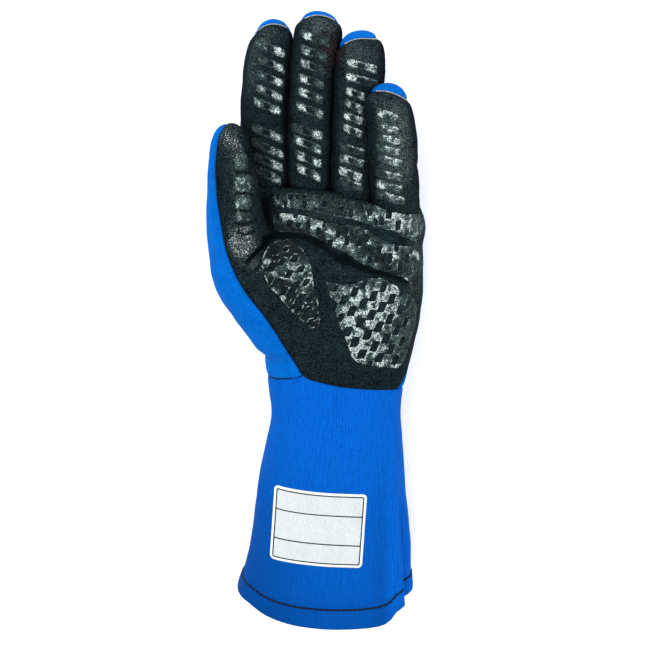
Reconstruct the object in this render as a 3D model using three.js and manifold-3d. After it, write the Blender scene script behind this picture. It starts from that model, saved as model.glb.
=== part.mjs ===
// A long-cuff racing glove for the left hand, lying on its back with the palm up.
// Millimetres, +Z up, fingertips towards +Y. The origin is on the flat of the hand's back, where it rests.
import * as THREE from 'three';
import { mergeVertices } from 'three/addons/utils/BufferGeometryUtils.js';
import Module from 'manifold-3d';

const wasm = await Module();
wasm.setup();

// Driving dimensions
const clothWall = 1.8;
const hemWall = 2.8;
const hemBand = 9.5;
const seamGap = 0.3;
const gripGap = 0.35;
const barGap = 0.4;
const gripThickness = 0.6;
const labelGap = 0.3;
const labelThickness = 0.5;
const labelSize = { width: 50, height: 39.5, corner: 2.5 };
const labelPlace = { x: -2.3, y: -109, turn: -4.5 };
const hemCurve = { sides: -155, drop: -12, middle: 8, reach: 50, fullness: 1.2, ramp: 34 };
const hemTurn = { step: 0.6, beyond: 10 };
const knuckleSlant = { from: 30, to: 74, rate: -0.16, x: 6 };
const knuckleRound = { inward: 0.45, forward: 1.6 };
const backFlat = 1.14;
const bodyBulge = { upper: 2.35, lower: 2.7 };
const limbBulge = 2.15;
const domePower = 2.3;
const seamRise = { from: 0.82, to: 0.97 };
const frontOverhang = 1.5;
const ownReach = 0.2;
const palmLevel = 14;
const thumbLevel = 31;
const floor = -5;
const ceiling = 90;
const bodySides = 26;
const fingerSides = 12;
const fineEdge = 0.06;
const farOut = 90;
const leastHalf = 0.4;

// Hand and cuff, in slices across the glove: left and right edges, the underside, the palm's height and the
// widest level.
const bodyRows = [
  { y: 77, left: -30, right: 42, base: 9, top: 20, widest: 14 },
  { y: 73, left: -37, right: 49.5, base: 5.2, top: 26, widest: 14 },
  { y: 66, left: -40, right: 53.4, base: 2.2, top: 30.5, widest: 14 },
  { y: 56, left: -40, right: 55, base: 0.4, top: 34.5, widest: 14.5 },
  { y: 42, left: -39.5, right: 53.8, base: 0, top: 37.5, widest: 15 },
  { y: 28, left: -39, right: 54.2, base: 0, top: 39.5, widest: 16 },
  { y: 14, left: -38.5, right: 54, base: 0, top: 41, widest: 17 },
  { y: 0, left: -36.5, right: 52.5, base: 0, top: 41.5, widest: 18 },
  { y: -14, left: -33.5, right: 49.3, base: 0, top: 41.5, widest: 18.5 },
  { y: -28, left: -30.6, right: 46, base: 0, top: 41, widest: 19 },
  { y: -40, left: -29.2, right: 43.9, base: 0, top: 41, widest: 19.5 },
  { y: -52, left: -28.4, right: 42.8, base: 0, top: 42, widest: 20 },
  { y: -66, left: -31, right: 43.8, base: 0, top: 44, widest: 20.5 },
  { y: -84, left: -34.5, right: 45.2, base: 0, top: 46.5, widest: 21 },
  { y: -104, left: -37.2, right: 47, base: 0, top: 49, widest: 21.5 },
  { y: -124, left: -40.2, right: 48.9, base: 0, top: 51.5, widest: 22 },
  { y: -142, left: -44.6, right: 50, base: 0, top: 53.5, widest: 22 },
  { y: -155, left: -48.2, right: 50.9, base: 0, top: 54.5, widest: 22 },
];

// Fingers and thumb: centre points from the palm to the tip, with the width and the depth of each slice.
const limbs = {
  index: {
    seam: { shaft: -1.5, tip: 1.5 },
    tipRound: 13,
    roll: -4,
    rows: [
      { x: -30.3, y: 60, z: 13.6, width: 24, depth: 23.2 },
      { x: -31, y: 82, z: 17, width: 25.2, depth: 22.5 },
      { x: -31, y: 99, z: 20, width: 25.4, depth: 22 },
      { x: -30.5, y: 115, z: 23, width: 25.6, depth: 21.5 },
      { x: -29.5, y: 132, z: 27, width: 25, depth: 20.5 },
      { x: -28.3, y: 145, z: 30, width: 24.2, depth: 19.5 },
      { x: -25.6, y: 163.2, z: 34, width: 20, depth: 18.5 },
    ],
  },
  middle: {
    seam: { shaft: -1.5, tip: 1.8 },
    tipRound: 13,
    roll: 2,
    rows: [
      { x: -6.7, y: 60, z: 14.2, width: 23, depth: 23.4 },
      { x: -6.6, y: 82, z: 19, width: 23.4, depth: 22.5 },
      { x: -6.3, y: 99, z: 23, width: 23.8, depth: 22 },
      { x: -5.7, y: 116, z: 27, width: 24, depth: 21.5 },
      { x: -5, y: 132, z: 31, width: 24, depth: 20.5 },
      { x: -3.8, y: 147, z: 35, width: 24.8, depth: 19.5 },
      { x: -1.8, y: 168.6, z: 41, width: 24.5, depth: 18.5 },
    ],
  },
  ring: {
    seam: { shaft: -1.5, tip: 2.2 },
    tipRound: 13,
    roll: 10,
    rows: [
      { x: 15, y: 58, z: 16, width: 21.6, depth: 22.8 },
      { x: 16, y: 82, z: 24, width: 22.4, depth: 21.6 },
      { x: 16.9, y: 100, z: 29.2, width: 23.6, depth: 21 },
      { x: 17.8, y: 117, z: 34.2, width: 24.6, depth: 20 },
      { x: 18.8, y: 132, z: 38.7, width: 25.2, depth: 19.3 },
      { x: 19.2, y: 143, z: 41.7, width: 24.8, depth: 18.8 },
      { x: 19.7, y: 159.7, z: 46, width: 23, depth: 18 },
    ],
  },
  little: {
    seam: { shaft: -1.5, tip: 2 },
    tipRound: 12.5,
    roll: 16,
    rows: [
      { x: 39.7, y: 52, z: 18.5, width: 25.2, depth: 22.6 },
      { x: 38.2, y: 73, z: 29, width: 25.6, depth: 21 },
      { x: 36.9, y: 91.5, z: 39, width: 25.4, depth: 20 },
      { x: 36.1, y: 102.7, z: 44, width: 25.2, depth: 19.4 },
      { x: 35.2, y: 113.8, z: 48.5, width: 24.6, depth: 18.6 },
      { x: 33.6, y: 122.8, z: 51.4, width: 23.4, depth: 17.8 },
      { x: 31.2, y: 132.6, z: 54.4, width: 21, depth: 17 },
    ],
  },
  thumb: {
    seam: { shaft: -0.5, tip: 2 },
    tipRound: 16,
    roll: 46,
    rows: [
      { x: -10, y: -18, z: 21, width: 31, depth: 30 },
      { x: -20.6, y: 0, z: 23.5, width: 46.5, depth: 34 },
      { x: -32, y: 14, z: 26.5, width: 47.5, depth: 36 },
      { x: -39.2, y: 28, z: 31, width: 43, depth: 34 },
      { x: -42.8, y: 43, z: 36, width: 38, depth: 31 },
      { x: -45.6, y: 57, z: 40.3, width: 33, depth: 28 },
      { x: -46.4, y: 71.4, z: 43.5, width: 29, depth: 25.5 },
      { x: -46.8, y: 83.6, z: 45.7, width: 26.2, depth: 23.8 },
      { x: -47.6, y: 96.5, z: 47.2, width: 23, depth: 21 },
      { x: -48.6, y: 112.2, z: 49, width: 19, depth: 18 },
    ],
  },
};

// The black palm's left edge, as seen from above, and its lower edge where the cuff is sewn on.
const palmLeftEdge = [
  { x: -48, y: 50 },
  { x: -49.5, y: 38 },
  { x: -46.5, y: 31 },
  { x: -43.8, y: 24.6 },
  { x: -38.1, y: 15.6 },
  { x: -31.2, y: 6.8 },
  { x: -25.4, y: -2 },
  { x: -20.1, y: -10.9 },
  { x: -11, y: -26 },
];
const palmLowerEdge = [
  { x: -11, y: -26 },
  { x: -5.6, y: -28.5 },
  { x: 9.4, y: -31.8 },
  { x: 22.8, y: -33.5 },
  { x: 33.7, y: -34.7 },
  { x: 47, y: -36.5 },
];
const wristSeamLeft = [
  { x: -60, y: -30.5 },
  { x: -29, y: -30.5 },
  { x: -11, y: -26 },
];
const fingerBaseEdge = [
  { x: -62, y: 76 },
  { x: -30.5, y: 75.2 },
  { x: -11.9, y: 74.3 },
  { x: 4, y: 72.9 },
  { x: 22.5, y: 68 },
  { x: 33.4, y: 64.3 },
  { x: 41.8, y: 61.7 },
  { x: 70, y: 57 },
];
// The seam at the foot of the thumb's front, from the crotch down to the palm's left edge.
const thumbBaseEdge = [
  { x: -24, y: 52 },
  { x: -31.5, y: 46.5 },
  { x: -40, y: 37.5 },
  { x: -52, y: 26 },
];

// Silicone prints on the palm, seen from above. The two bands run across under the fingers.
const gripBands = {
  upper_band_grip: [
    { x: -24.6, low: 65.2, high: 72.8 },
    { x: -11, low: 64.6, high: 71.2 },
    { x: 4.5, low: 62.6, high: 69.2 },
    { x: 20.2, low: 56.4, high: 66 },
    { x: 36, low: 51.8, high: 61.8 },
    { x: 49.5, low: 47.9, high: 58 },
  ],
  lower_band_grip: [
    { x: -26.2, low: 57.6, high: 63.1 },
    { x: -16.1, low: 54.5, high: 62.3 },
    { x: -5.8, low: 50.7, high: 61 },
    { x: 6.6, low: 46.1, high: 58.4 },
    { x: 20.4, low: 37, high: 52 },
    { x: 36.3, low: 31.8, high: 47.4 },
    { x: 50.2, low: 30.8, high: 43.2 },
  ],
};
const gripMounds = {
  thenar_grip: [
    [-29.5, 36.6], [-25.4, 46], [-15, 48.6], [-8, 40], [-4.3, 25.2], [-1.9, 17.5], [-1.5, 6], [-5.9, 2.1],
    [-12, 6], [-21.5, 18.1], [-28.4, 26.8],
  ],
  hypothenar_grip: [
    [1.9, 26.3], [14.6, 27.4], [30.5, 27.4], [40.9, 23.5], [47.6, 9.3], [47.2, 1], [43.2, -15.1],
    [40, -21.8], [28.7, -20.7], [17.7, -18.4], [13.1, -9.5], [9.9, 2.7], [7.2, 13.1], [3.5, 19.2],
  ],
};
// The holes of a band stand in staggered rows; those of a mound lie on a turned square net and lean sideways.
const bandHoles = { pitch: 5.3, row: 5, width: 2.9, fill: 0.76, lean: -0.2 };
const moundHoles = {
  thenar_grip: { pitch: 6.6, turn: 30, width: 2.6, height: 4.2, lean: 2.6, rim: 0.9, x: -14.2, y: 25 },
  hypothenar_grip: { pitch: 7.5, turn: 34, width: 3.4, height: 5, lean: 2.6, rim: 0.9, x: 24.5, y: 5.5 },
};

// Silicone bars across the fingers, as distances in y, with the place and width of each bar.
const barRows = {
  index: { offset: 0, width: 14.5, y: [148.2, 140.2, 132.2, 124.5, 116.8, 102.3, 94.7, 87.2, 79.6] },
  middle: { offset: -0.2, width: 14, y: [156.6, 148.6, 140.2, 132.2, 124.6, 117, 103.6, 96.8, 89.3, 81.8] },
  ring: { offset: -0.8, width: 12.8, y: [141.2, 135.2, 127.8, 120.8, 113.8, 107, 97.6, 91.2, 83.8, 78.2] },
  little: { offset: 0.4, width: 13.5, y: [116.4, 108.6, 102.4, 96.2, 90.2, 82.6, 76.4, 69.8] },
  thumb: { offset: -4.4, width: 8.5, y: [94.5, 85, 77.5, 71.5] },
};
const bar = { height: 3.4, drop: 1.6, edge: 0.8 };

const colours = {
  blueKnit: new THREE.MeshStandardMaterial({ color: 0x0a64d7, roughness: 0.9, metalness: 0 }),
  blueShell: new THREE.MeshStandardMaterial({ color: 0x0076e6, roughness: 0.85, metalness: 0 }),
  blackSuede: new THREE.MeshStandardMaterial({ color: 0x1c2426, roughness: 0.95, metalness: 0 }),
  silicone: new THREE.MeshStandardMaterial({ color: 0x2b3133, roughness: 0.3, metalness: 0 }),
  labelCloth: new THREE.MeshStandardMaterial({ color: 0xe6e8ea, roughness: 0.7, metalness: 0 }),
};

const radians = THREE.MathUtils.degToRad;
const smooth = THREE.MathUtils.smoothstep;

// A value of a table's column between its rows, on a smooth curve. t counts rows from 0.
function between(rows, column, t) {
  const last = rows.length - 1;
  const i = Math.min(Math.floor(t), last - 1);
  const value = (n) => rows[THREE.MathUtils.clamp(n, 0, last)][column];
  const [a, b, c, d] = [value(i - 1), value(i), value(i + 1), value(i + 2)];
  const f = t - i;
  const low = Math.min(b, c);
  const high = Math.max(b, c);
  const curve = b + 0.5 * f * (c - a + f * (2 * a - 5 * b + 4 * c - d + f * (3 * (b - c) + d - a)));
  return THREE.MathUtils.clamp(curve, low - 0.1 * (high - low), high + 0.1 * (high - low));
}

// A closed solid through slices with the same number of points. tip is the point that closes its last end.
function loft(slices, tip) {
  const count = slices[0].length;
  const points = slices.flat();
  const faces = [];
  for (let s = 0; s < slices.length - 1; s++) {
    for (let i = 0; i < count; i++) {
      const j = (i + 1) % count;
      const [a, b, c, d] = [s * count + i, s * count + j, (s + 1) * count + j, (s + 1) * count + i];
      faces.push(a, b, c, a, c, d);
    }
  }
  for (const [slice, first] of [[0, 0], [slices.length - 1, (slices.length - 1) * count]]) {
    points.push(slice > 0 && tip ? tip : centreOf(slices[slice]));
    for (let i = 0; i < count; i++) {
      const j = (i + 1) % count;
      if (slice === 0) faces.push(points.length - 1, first + j, first + i);
      else faces.push(points.length - 1, first + i, first + j);
    }
  }
  return solidFrom(points, faces);
}

function centreOf(slice) {
  return slice.reduce((sum, p) => sum.add(p), new THREE.Vector3()).divideScalar(slice.length);
}

function signedVolume(points, faces) {
  let volume = 0;
  for (let i = 0; i < faces.length; i += 3) {
    volume += points[faces[i]].dot(points[faces[i + 1]].clone().cross(points[faces[i + 2]])) / 6;
  }
  return volume;
}

function solidFrom(points, faces) {
  const turned = signedVolume(points, faces) < 0 ? faces.slice().reverse() : faces;
  const geometry = new THREE.BufferGeometry().setFromPoints(points).setIndex(turned);
  return solidOf(geometry);
}

function solidOf(geometry) {
  const bare = geometry.clone();
  bare.deleteAttribute('normal');
  bare.deleteAttribute('uv');
  const merged = mergeVertices(bare, 1e-4);
  const vertProperties = merged.attributes.position.array;
  return new wasm.Manifold(new wasm.Mesh({ numProp: 3, vertProperties, triVerts: merged.index.array }));
}

function unite(solids) {
  return solids.reduce((sum, solid) => sum.add(solid));
}

// A point of a rounded slice: bulge 2 is an ellipse and more is squarer.
function rounded(angle, bulge) {
  const [c, s] = [Math.cos(angle), Math.sin(angle)];
  const power = 2 / bulge;
  return [Math.sign(c) * Math.abs(c) ** power, Math.sign(s) * Math.abs(s) ** power];
}

// Broad pads of the palm: the ball of the thumb, the heel and the two finger pads, with the hollow between.
const palmForms = [
  { x: -17, y: 24, reachX: 15, reachY: 26, height: 1.8 },
  { x: 29, y: 4, reachX: 17, reachY: 25, height: 2.2 },
  { x: 12, y: 60, reachX: 45, reachY: 9, height: 1 },
  { x: 8, y: 36, reachX: 12, reachY: 9, height: -2.2 },
  { x: 0, y: 14, reachX: 6, reachY: 16, height: -2 },
];
const reliefFade = { from: -25, to: -40 };
function palmRelief(x, y) {
  const relief = palmForms.reduce((sum, form) => {
    const d = ((x - form.x) / form.reachX) ** 2 + ((y - form.y) / form.reachY) ** 2;
    return sum + form.height * Math.exp(-d);
  }, 0);
  return relief * smooth(y, reliefFade.to, reliefFade.from);
}

// The pleat down the cuff's outer side: a crease that deepens towards the hem.
const pleat = { angle: 24, spread: 13, depth: 7.5, sink: 0.3, from: -86, to: -150 };
function pleatDent(angle, y) {
  const degrees = THREE.MathUtils.radToDeg(angle);
  const strength = 1 - smooth(y, pleat.to, pleat.from);
  return pleat.depth * strength * Math.exp(-(((degrees - pleat.angle) / pleat.spread) ** 2));
}

// One slice of the hand or the cuff. grow is how far it stands outside the cloth's outer face.
function bodySlice(row, grow) {
  const centre = (row.left + row.right) / 2;
  const half = (row.right - row.left) / 2 + grow;
  const slice = [];
  for (let i = 0; i < bodySides; i++) {
    const angle = (2 * Math.PI * (i + 0.5)) / bodySides;
    const upper = angle < Math.PI;
    const [across, up] = rounded(angle, upper ? bodyBulge.upper : bodyBulge.lower);
    const dent = pleatDent(angle, row.y);
    const x = centre + across * half - dent * Math.max(across, 0);
    const tall = upper ? row.top - row.widest : (row.widest - row.base) * backFlat;
    const rise = (tall + grow) * up;
    const relief = upper ? palmRelief(x, row.y) * up : 0;
    const z = Math.max(row.widest + rise + relief - dent * pleat.sink, row.base - grow);
    const lean = knuckleSlant.rate * smooth(row.y, knuckleSlant.from, knuckleSlant.to);
    const slant = lean * (x - knuckleSlant.x);
    const hang = upper ? hemHang(x) * (1 - smooth(row.y, hemCurve.sides, hemCurve.sides + hemCurve.ramp)) : 0;
    slice.push(new THREE.Vector3(x, row.y + slant + hang, z));
  }
  return slice;
}

// How far the hem's palm side hangs below its sides.
function hemHang(x) {
  const across = Math.min(Math.abs(x - hemCurve.middle) / hemCurve.reach, 1);
  return hemCurve.drop * (1 - across ** 2) ** hemCurve.fullness;
}

function rowAt(y) {
  const after = bodyRows.findIndex((row) => row.y <= y);
  const [a, b] = [bodyRows[after - 1], bodyRows[after]];
  const t = after - 1 + (a.y - y) / (a.y - b.y);
  const row = { y };
  for (const column of ['left', 'right', 'base', 'top', 'widest']) row[column] = between(bodyRows, column, t);
  return row;
}

// The hand and the cuff as one solid, rounded off at the knuckles.
function bodySolid(grow) {
  const slices = bodyRows.map((row) => bodySlice(row, grow));
  slices.unshift(knuckleEnd(slices[0], grow));
  return loft(slices);
}

function knuckleEnd(slice, grow) {
  const middle = centreOf(slice);
  const forward = knuckleRound.forward + grow;
  return slice.map((p) => p.clone().lerp(middle, knuckleRound.inward).setY(p.y + forward));
}

// The hollow of the hand and the cuff, open at the hem, whose band is turned in and thicker.
function bodyHollow() {
  const bandTop = rowAt(hemCurve.sides + hemBand);
  const hem = bodyRows[bodyRows.length - 1];
  const slices = bodyRows.slice(0, -1).map((row) => bodySlice(row, -clothWall));
  slices.unshift(knuckleEnd(slices[0], -clothWall));
  slices.push(bodySlice(bandTop, -clothWall));
  slices.push(bodySlice({ ...bandTop, y: bandTop.y - hemTurn.step }, -hemWall));
  slices.push(bodySlice(hem, -hemWall));
  slices.push(bodySlice(hem, -hemWall).map((p) => p.setY(hemCurve.sides + hemCurve.drop - hemTurn.beyond)));
  return loft(slices);
}

// The curve and the slices of a finger or the thumb.
function limbCurve(limb) {
  const centres = limb.rows.map(({ x, y, z }) => new THREE.Vector3(x, y, z));
  return new THREE.CatmullRomCurve3(centres, false, 'centripetal');
}

function limbFrame(limb, curve, t) {
  const along = curve.getTangent(t);
  const side = along.clone().cross(new THREE.Vector3(0, 0, 1)).normalize();
  const palmward = side.clone().cross(along).normalize();
  side.applyAxisAngle(along, radians(limb.roll));
  palmward.applyAxisAngle(along, radians(limb.roll));
  return { centre: curve.getPoint(t), along, side, palmward };
}

function limbSize(limb, t) {
  const at = t * (limb.rows.length - 1);
  return { width: between(limb.rows, 'width', at), depth: between(limb.rows, 'depth', at) };
}

// Slices of a finger, closer together round the tip, which is a dome.
const shaftSteps = 4;
const domeSteps = [0.5, 0.86];
function limbStations(limb, curve) {
  const domeStart = 1 - limb.tipRound / curve.getLength();
  const shaft = [];
  for (let i = 0; i <= shaftSteps; i++) shaft.push({ t: (domeStart * i) / shaftSteps, shrink: 1 });
  const dome = domeSteps.map((f) => ({
    t: domeStart + (1 - domeStart) * f,
    shrink: (1 - f ** domePower) ** (1 / domePower),
  }));
  return [...shaft, ...dome];
}

// A point of a finger's front on one of its slices: across in millimetres from the middle, grow outside it.
function slicePoint(limb, curve, { t, shrink }, across, grow) {
  const { centre, side, palmward } = limbFrame(limb, curve, t);
  const { width, depth } = limbSize(limb, t);
  const [halfWidth, halfDepth] = [(width / 2) * shrink, (depth / 2) * shrink];
  const share = across / halfWidth;
  const up = (1 - Math.abs(share) ** limbBulge) ** (1 / limbBulge);
  const angle = Math.atan2(up * halfWidth, share * halfDepth);
  return centre.addScaledVector(side, across + grow * Math.cos(angle))
    .addScaledVector(palmward, up * halfDepth + grow * Math.sin(angle));
}

// The same between two slices, where the front is straight.
function frontPoint(limb, curve, t, across, grow) {
  const stations = limbStations(limb, curve);
  const next = stations.findIndex((station) => station.t > t);
  const [a, b] = [stations[next - 1], stations[next]];
  const point = slicePoint(limb, curve, a, across, grow);
  return point.lerp(slicePoint(limb, curve, b, across, grow), (t - a.t) / (b.t - a.t));
}

// Where the facets of a finger's front meet, as shares of its half width.
const facetEdges = Array.from({ length: fingerSides / 2 }, (_, i) =>
  rounded((2 * Math.PI * (i + 0.5)) / fingerSides, limbBulge)[0]).reverse();

function limbSolid(limb, grow) {
  const curve = limbCurve(limb);
  const slices = limbStations(limb, curve).map(({ t, shrink }) => {
    const { centre, along, side, palmward } = limbFrame(limb, curve, t);
    const { width, depth } = limbSize(limb, t);
    const forward = grow * (1 - shrink);
    const slice = [];
    for (let i = 0; i < fingerSides; i++) {
      const [across, up] = rounded((2 * Math.PI * (i + 0.5)) / fingerSides, limbBulge);
      const point = centre.clone().addScaledVector(along, forward);
      point.addScaledVector(side, across * Math.max((width / 2) * shrink + grow, leastHalf));
      point.addScaledVector(palmward, up * Math.max((depth / 2) * shrink + grow, leastHalf));
      slice.push(point);
    }
    return slice;
  });
  return loft(slices, curve.getPoint(1).addScaledVector(curve.getTangent(1), grow));
}

// The space on the palm's side of a finger's seam, made larger all round by a distance.
function limbFrontSpace(limb, by) {
  const curve = limbCurve(limb);
  const stations = [...limbStations(limb, curve).map(({ t }) => t), 1];
  const slices = stations.map((t, i) => {
    const { centre, along, side, palmward } = limbFrame(limb, curve, t);
    const { width, depth } = limbSize(limb, t);
    const rise = smooth(t, seamRise.from, seamRise.to);
    const level = THREE.MathUtils.lerp(limb.seam.shaft, limb.seam.tip, rise) - by;
    const origin = centre.addScaledVector(along, i === stations.length - 1 ? frontOverhang : 0);
    const half = width / 2 + frontOverhang + by;
    const high = depth / 2 + frontOverhang + by;
    return [[-half, level], [half, level], [half, high], [-half, high]].map(([u, v]) =>
      origin.clone().addScaledVector(side, u).addScaledVector(palmward, v));
  });
  return loft(slices);
}

// A solid between two levels over an outline seen from above.
function column(outline, low, high) {
  const shape = new THREE.Shape(outline.map(([x, y]) => new THREE.Vector2(x, y)));
  const geometry = new THREE.ExtrudeGeometry(shape, { depth: high - low, bevelEnabled: false });
  return solidOf(geometry.translate(0, 0, low));
}

// An outline moved outwards by a distance. The outline runs clockwise seen from above.
function grown(outline, by) {
  const clockwise = THREE.ShapeUtils.isClockWise(outline.map(([x, y]) => ({ x, y }))) ? 1 : -1;
  return outline.map(([x, y], i) => {
    const [px, py] = outline.at(i - 1);
    const [nx, ny] = outline[(i + 1) % outline.length];
    const before = new THREE.Vector2(x - px, y - py).normalize();
    const after = new THREE.Vector2(nx - x, ny - y).normalize();
    const side = new THREE.Vector2(-before.y, before.x).multiplyScalar(clockwise);
    const nextSide = new THREE.Vector2(-after.y, after.x).multiplyScalar(clockwise);
    const out = side.clone().add(nextSide).normalize();
    const distance = by / Math.max(out.dot(side), 0.5);
    return [x + out.x * distance, y + out.y * distance];
  });
}

function dots(edge) {
  return edge.map(({ x, y }) => [x, y]);
}

// Outlines seen from above of the cuff, the fingers, the thumb's front and the palm.
const palmRightEdge = [{ x: 42.6, y: -36 }, { x: 44.4, y: -32.7 }, { x: 47.6, y: -16.8 }, { x: 56, y: -9 }];
const wristEdge = [...wristSeamLeft, ...palmLowerEdge.slice(1), { x: farOut, y: -38 }];
const cuffOutline = [...dots(wristEdge), [farOut, -220], [-farOut, -220]];
const fingerOutline = [...dots(fingerBaseEdge), [farOut, 220], [-farOut, 220]];
const thumbOutline = [...dots(thumbBaseEdge), [-farOut, 20], [-farOut, 150], [-24, 150]];
const palmOutline = [
  ...dots(palmLeftEdge), ...dots(palmLowerEdge.slice(1, -1)), ...dots(palmRightEdge),
  [farOut, -9], [farOut, 90], [-24, 90], [-37, 70],
];
const thumbSide = [[-farOut, -40], [-37, -40], [-37, 90], [-farOut, 90]];

// Where the black palm lies: above the outer seam, and above the thumb's underside on the thumb's side.
function palmSpace(by) {
  const whole = column(grown(palmOutline, by), palmLevel - by, ceiling);
  const under = column(grown(thumbSide, -by), floor, thumbLevel - by);
  return whole.subtract(under);
}

const limbList = Object.entries(limbs);
const fingers = limbList.filter(([name]) => name !== 'thumb');

function gloveSolid(grow) {
  return unite([bodySolid(grow), ...limbList.map(([, limb]) => limbSolid(limb, grow))]);
}

const outside = gloveSolid(0);
const hollow = unite([bodyHollow(), ...limbList.map(([, limb]) => limbSolid(limb, -clothWall))]);
const shell = outside.subtract(hollow);

const apart = seamGap / 2;
const cuffSpace = column(grown(cuffOutline, -apart), floor, ceiling);
const cuffSpaceLoose = column(grown(cuffOutline, apart), floor, ceiling);
const fingerSpace = column(grown(fingerOutline, -apart), floor, ceiling);
const fingerSpaceLoose = column(grown(fingerOutline, apart), floor, ceiling);
const thumbSpace = column(grown(thumbOutline, -apart), floor, ceiling);
const thumbSpaceLoose = column(grown(thumbOutline, apart), floor, ceiling);

const hand = shell.subtract(cuffSpaceLoose);
// A finger's or the thumb's own front, without what its neighbours hold over it.
const ownFront = (limb, by) => limbFrontSpace(limb, by).intersect(limbSolid(limb, ownReach + by));
const thumbFrontLoose = ownFront(limbs.thumb, apart).intersect(thumbSpaceLoose);
const fingerFrontsLoose = fingers.map(([, limb]) => ownFront(limb, apart).intersect(fingerSpaceLoose));

const panels = {};
panels.cuff = shell.intersect(cuffSpace);
panels.thumb_front = hand.intersect(ownFront(limbs.thumb, -apart)).intersect(thumbSpace);
fingers.forEach(([name, limb], i) => {
  const others = [thumbFrontLoose, ...fingerFrontsLoose.slice(0, i)];
  const front = hand.intersect(ownFront(limb, -apart)).intersect(fingerSpace);
  panels[`${name}_front`] = others.reduce((solid, other) => solid.subtract(other), front);
});
const fronts = unite([thumbFrontLoose, ...fingerFrontsLoose]);
panels.palm_panel = hand.intersect(palmSpace(-apart)).subtract(fronts).subtract(fingerSpaceLoose);
panels.back_panel = hand.subtract(fronts).subtract(palmSpace(apart).subtract(fingerSpace));

// A plate that follows the glove's face over an outline seen from above.
function skin(face, gap, thickness) {
  return face(gap + thickness).subtract(face(gap));
}

function insideBy(outline, x, y, rim) {
  let inside = false;
  let nearest = Infinity;
  outline.forEach(([x2, y2], i) => {
    const [x1, y1] = outline.at(i - 1);
    if ((y1 > y) !== (y2 > y) && x < x1 + ((y - y1) * (x2 - x1)) / (y2 - y1)) inside = !inside;
    const [dx, dy] = [x2 - x1, y2 - y1];
    const f = THREE.MathUtils.clamp(((x - x1) * dx + (y - y1) * dy) / (dx ** 2 + dy ** 2), 0, 1);
    nearest = Math.min(nearest, Math.hypot(x - x1 - f * dx, y - y1 - f * dy));
  });
  return inside && nearest >= rim;
}

function leaningHole(x, y, width, height, lean) {
  return [[-1, -1], [1, -1], [1, 1], [-1, 1]].map(([u, v]) =>
    [x + (u * width) / 2 + (v * lean) / 2, y + (v * height) / 2]);
}

// The holes of a mound: those of its net that fit inside the outline.
function holesInMound(outline, { pitch, turn, width, height, lean, rim, x, y }) {
  const step = new THREE.Vector2(pitch, 0).rotateAround(new THREE.Vector2(), radians(turn));
  const holes = [];
  for (let i = -5; i <= 5; i++) {
    for (let j = -5; j <= 5; j++) {
      const hole = leaningHole(x + i * step.x - j * step.y, y + i * step.y + j * step.x, width, height, lean);
      if (hole.every(([cx, cy]) => insideBy(outline, cx, cy, rim))) holes.push(hole);
    }
  }
  return holes;
}

function bandEdges(rows, x) {
  const after = Math.min(Math.max(rows.findIndex((row) => row.x > x), 1), rows.length - 1);
  const [a, b] = [rows[after - 1], rows[after]];
  const f = (x - a.x) / (b.x - a.x);
  return [THREE.MathUtils.lerp(a.low, b.low, f), THREE.MathUtils.lerp(a.high, b.high, f)];
}

// The holes of a band, in as many staggered rows as its height holds.
function holesInBand(rows) {
  const { pitch, row, width, fill, lean } = bandHoles;
  const length = rows.at(-1).x - rows[0].x;
  const columns = Math.floor((length - 2) / pitch);
  const first = (rows[0].x + rows.at(-1).x - (columns - 1) * pitch) / 2;
  const holes = [];
  for (let i = 0; i < columns; i++) {
    const x = first + i * pitch;
    const [low, high] = bandEdges(rows, x);
    const count = Math.max(Math.round((high - low) / row), 1);
    const each = (high - low) / count;
    for (let j = i % 2; j < count; j += 2) {
      holes.push(leaningHole(x, low + (j + 0.5) * each, width, each * fill, lean));
    }
  }
  return holes;
}

function bandOutline(rows) {
  return [...rows.map(({ x, low }) => [x, low]), ...rows.map(({ x, high }) => [x, high]).reverse()];
}

function curveAtY(curve, y) {
  let [low, high] = [0, 1];
  for (let i = 0; i < 30; i++) {
    const middle = (low + high) / 2;
    if (curve.getPoint(middle).y < y) low = middle;
    else high = middle;
  }
  return (low + high) / 2;
}

// A silicone bar laid across a finger's front at a distance along it.
function barSolid(limb, { offset, width }, y) {
  const curve = limbCurve(limb);
  const length = curve.getLength();
  const middle = curveAtY(curve, y);
  const [start, end] = [offset - width / 2, offset + width / 2];
  const half = limbSize(limb, middle).width / 2;
  const inBar = (u) => u > start + bar.edge && u < end - bar.edge;
  const folds = facetEdges.map((share) => share * half).filter(inBar);
  const rowsOf = (grow) => [start, ...folds, end].map((u) => {
    const lean = -bar.drop * ((u - start) / width - 0.5);
    return [-1, 1].map((side) => {
      const t = middle + (lean + (side * bar.height) / 2) / length;
      return frontPoint(limb, curve, t, u, grow);
    });
  });
  const [below, above] = [rowsOf(barGap), rowsOf(barGap + gripThickness)];
  return loft(below.map(([a, b], i) => [a, b, above[i][1], above[i][0]]));
}

const handFace = (grow) => unite([bodySolid(grow), limbSolid(limbs.thumb, grow)]);
const palmSkin = skin(handFace, gripGap, gripThickness);
const fingersClear = unite(fingers.map(([, limb]) => limbSolid(limb, gripGap)));
const prints = [
  ...Object.entries(gripBands).map(([name, rows]) => [name, bandOutline(rows), holesInBand(rows)]),
  ...Object.entries(gripMounds).map(([name, outline]) => {
    return [name, outline, holesInMound(outline, moundHoles[name])];
  }),
];
const grips = {};
for (const [name, outline, holes] of prints) {
  const plate = palmSkin.intersect(column(outline, palmLevel, ceiling)).subtract(fingersClear);
  grips[name] = holes.reduce((solid, hole) => solid.subtract(column(hole, palmLevel, ceiling)), plate);
}
for (const [name, row] of Object.entries(barRows)) {
  row.y.forEach((y, i) => { grips[`${name}_grip_${i + 1}`] = barSolid(limbs[name], row, y); });
}

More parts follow.
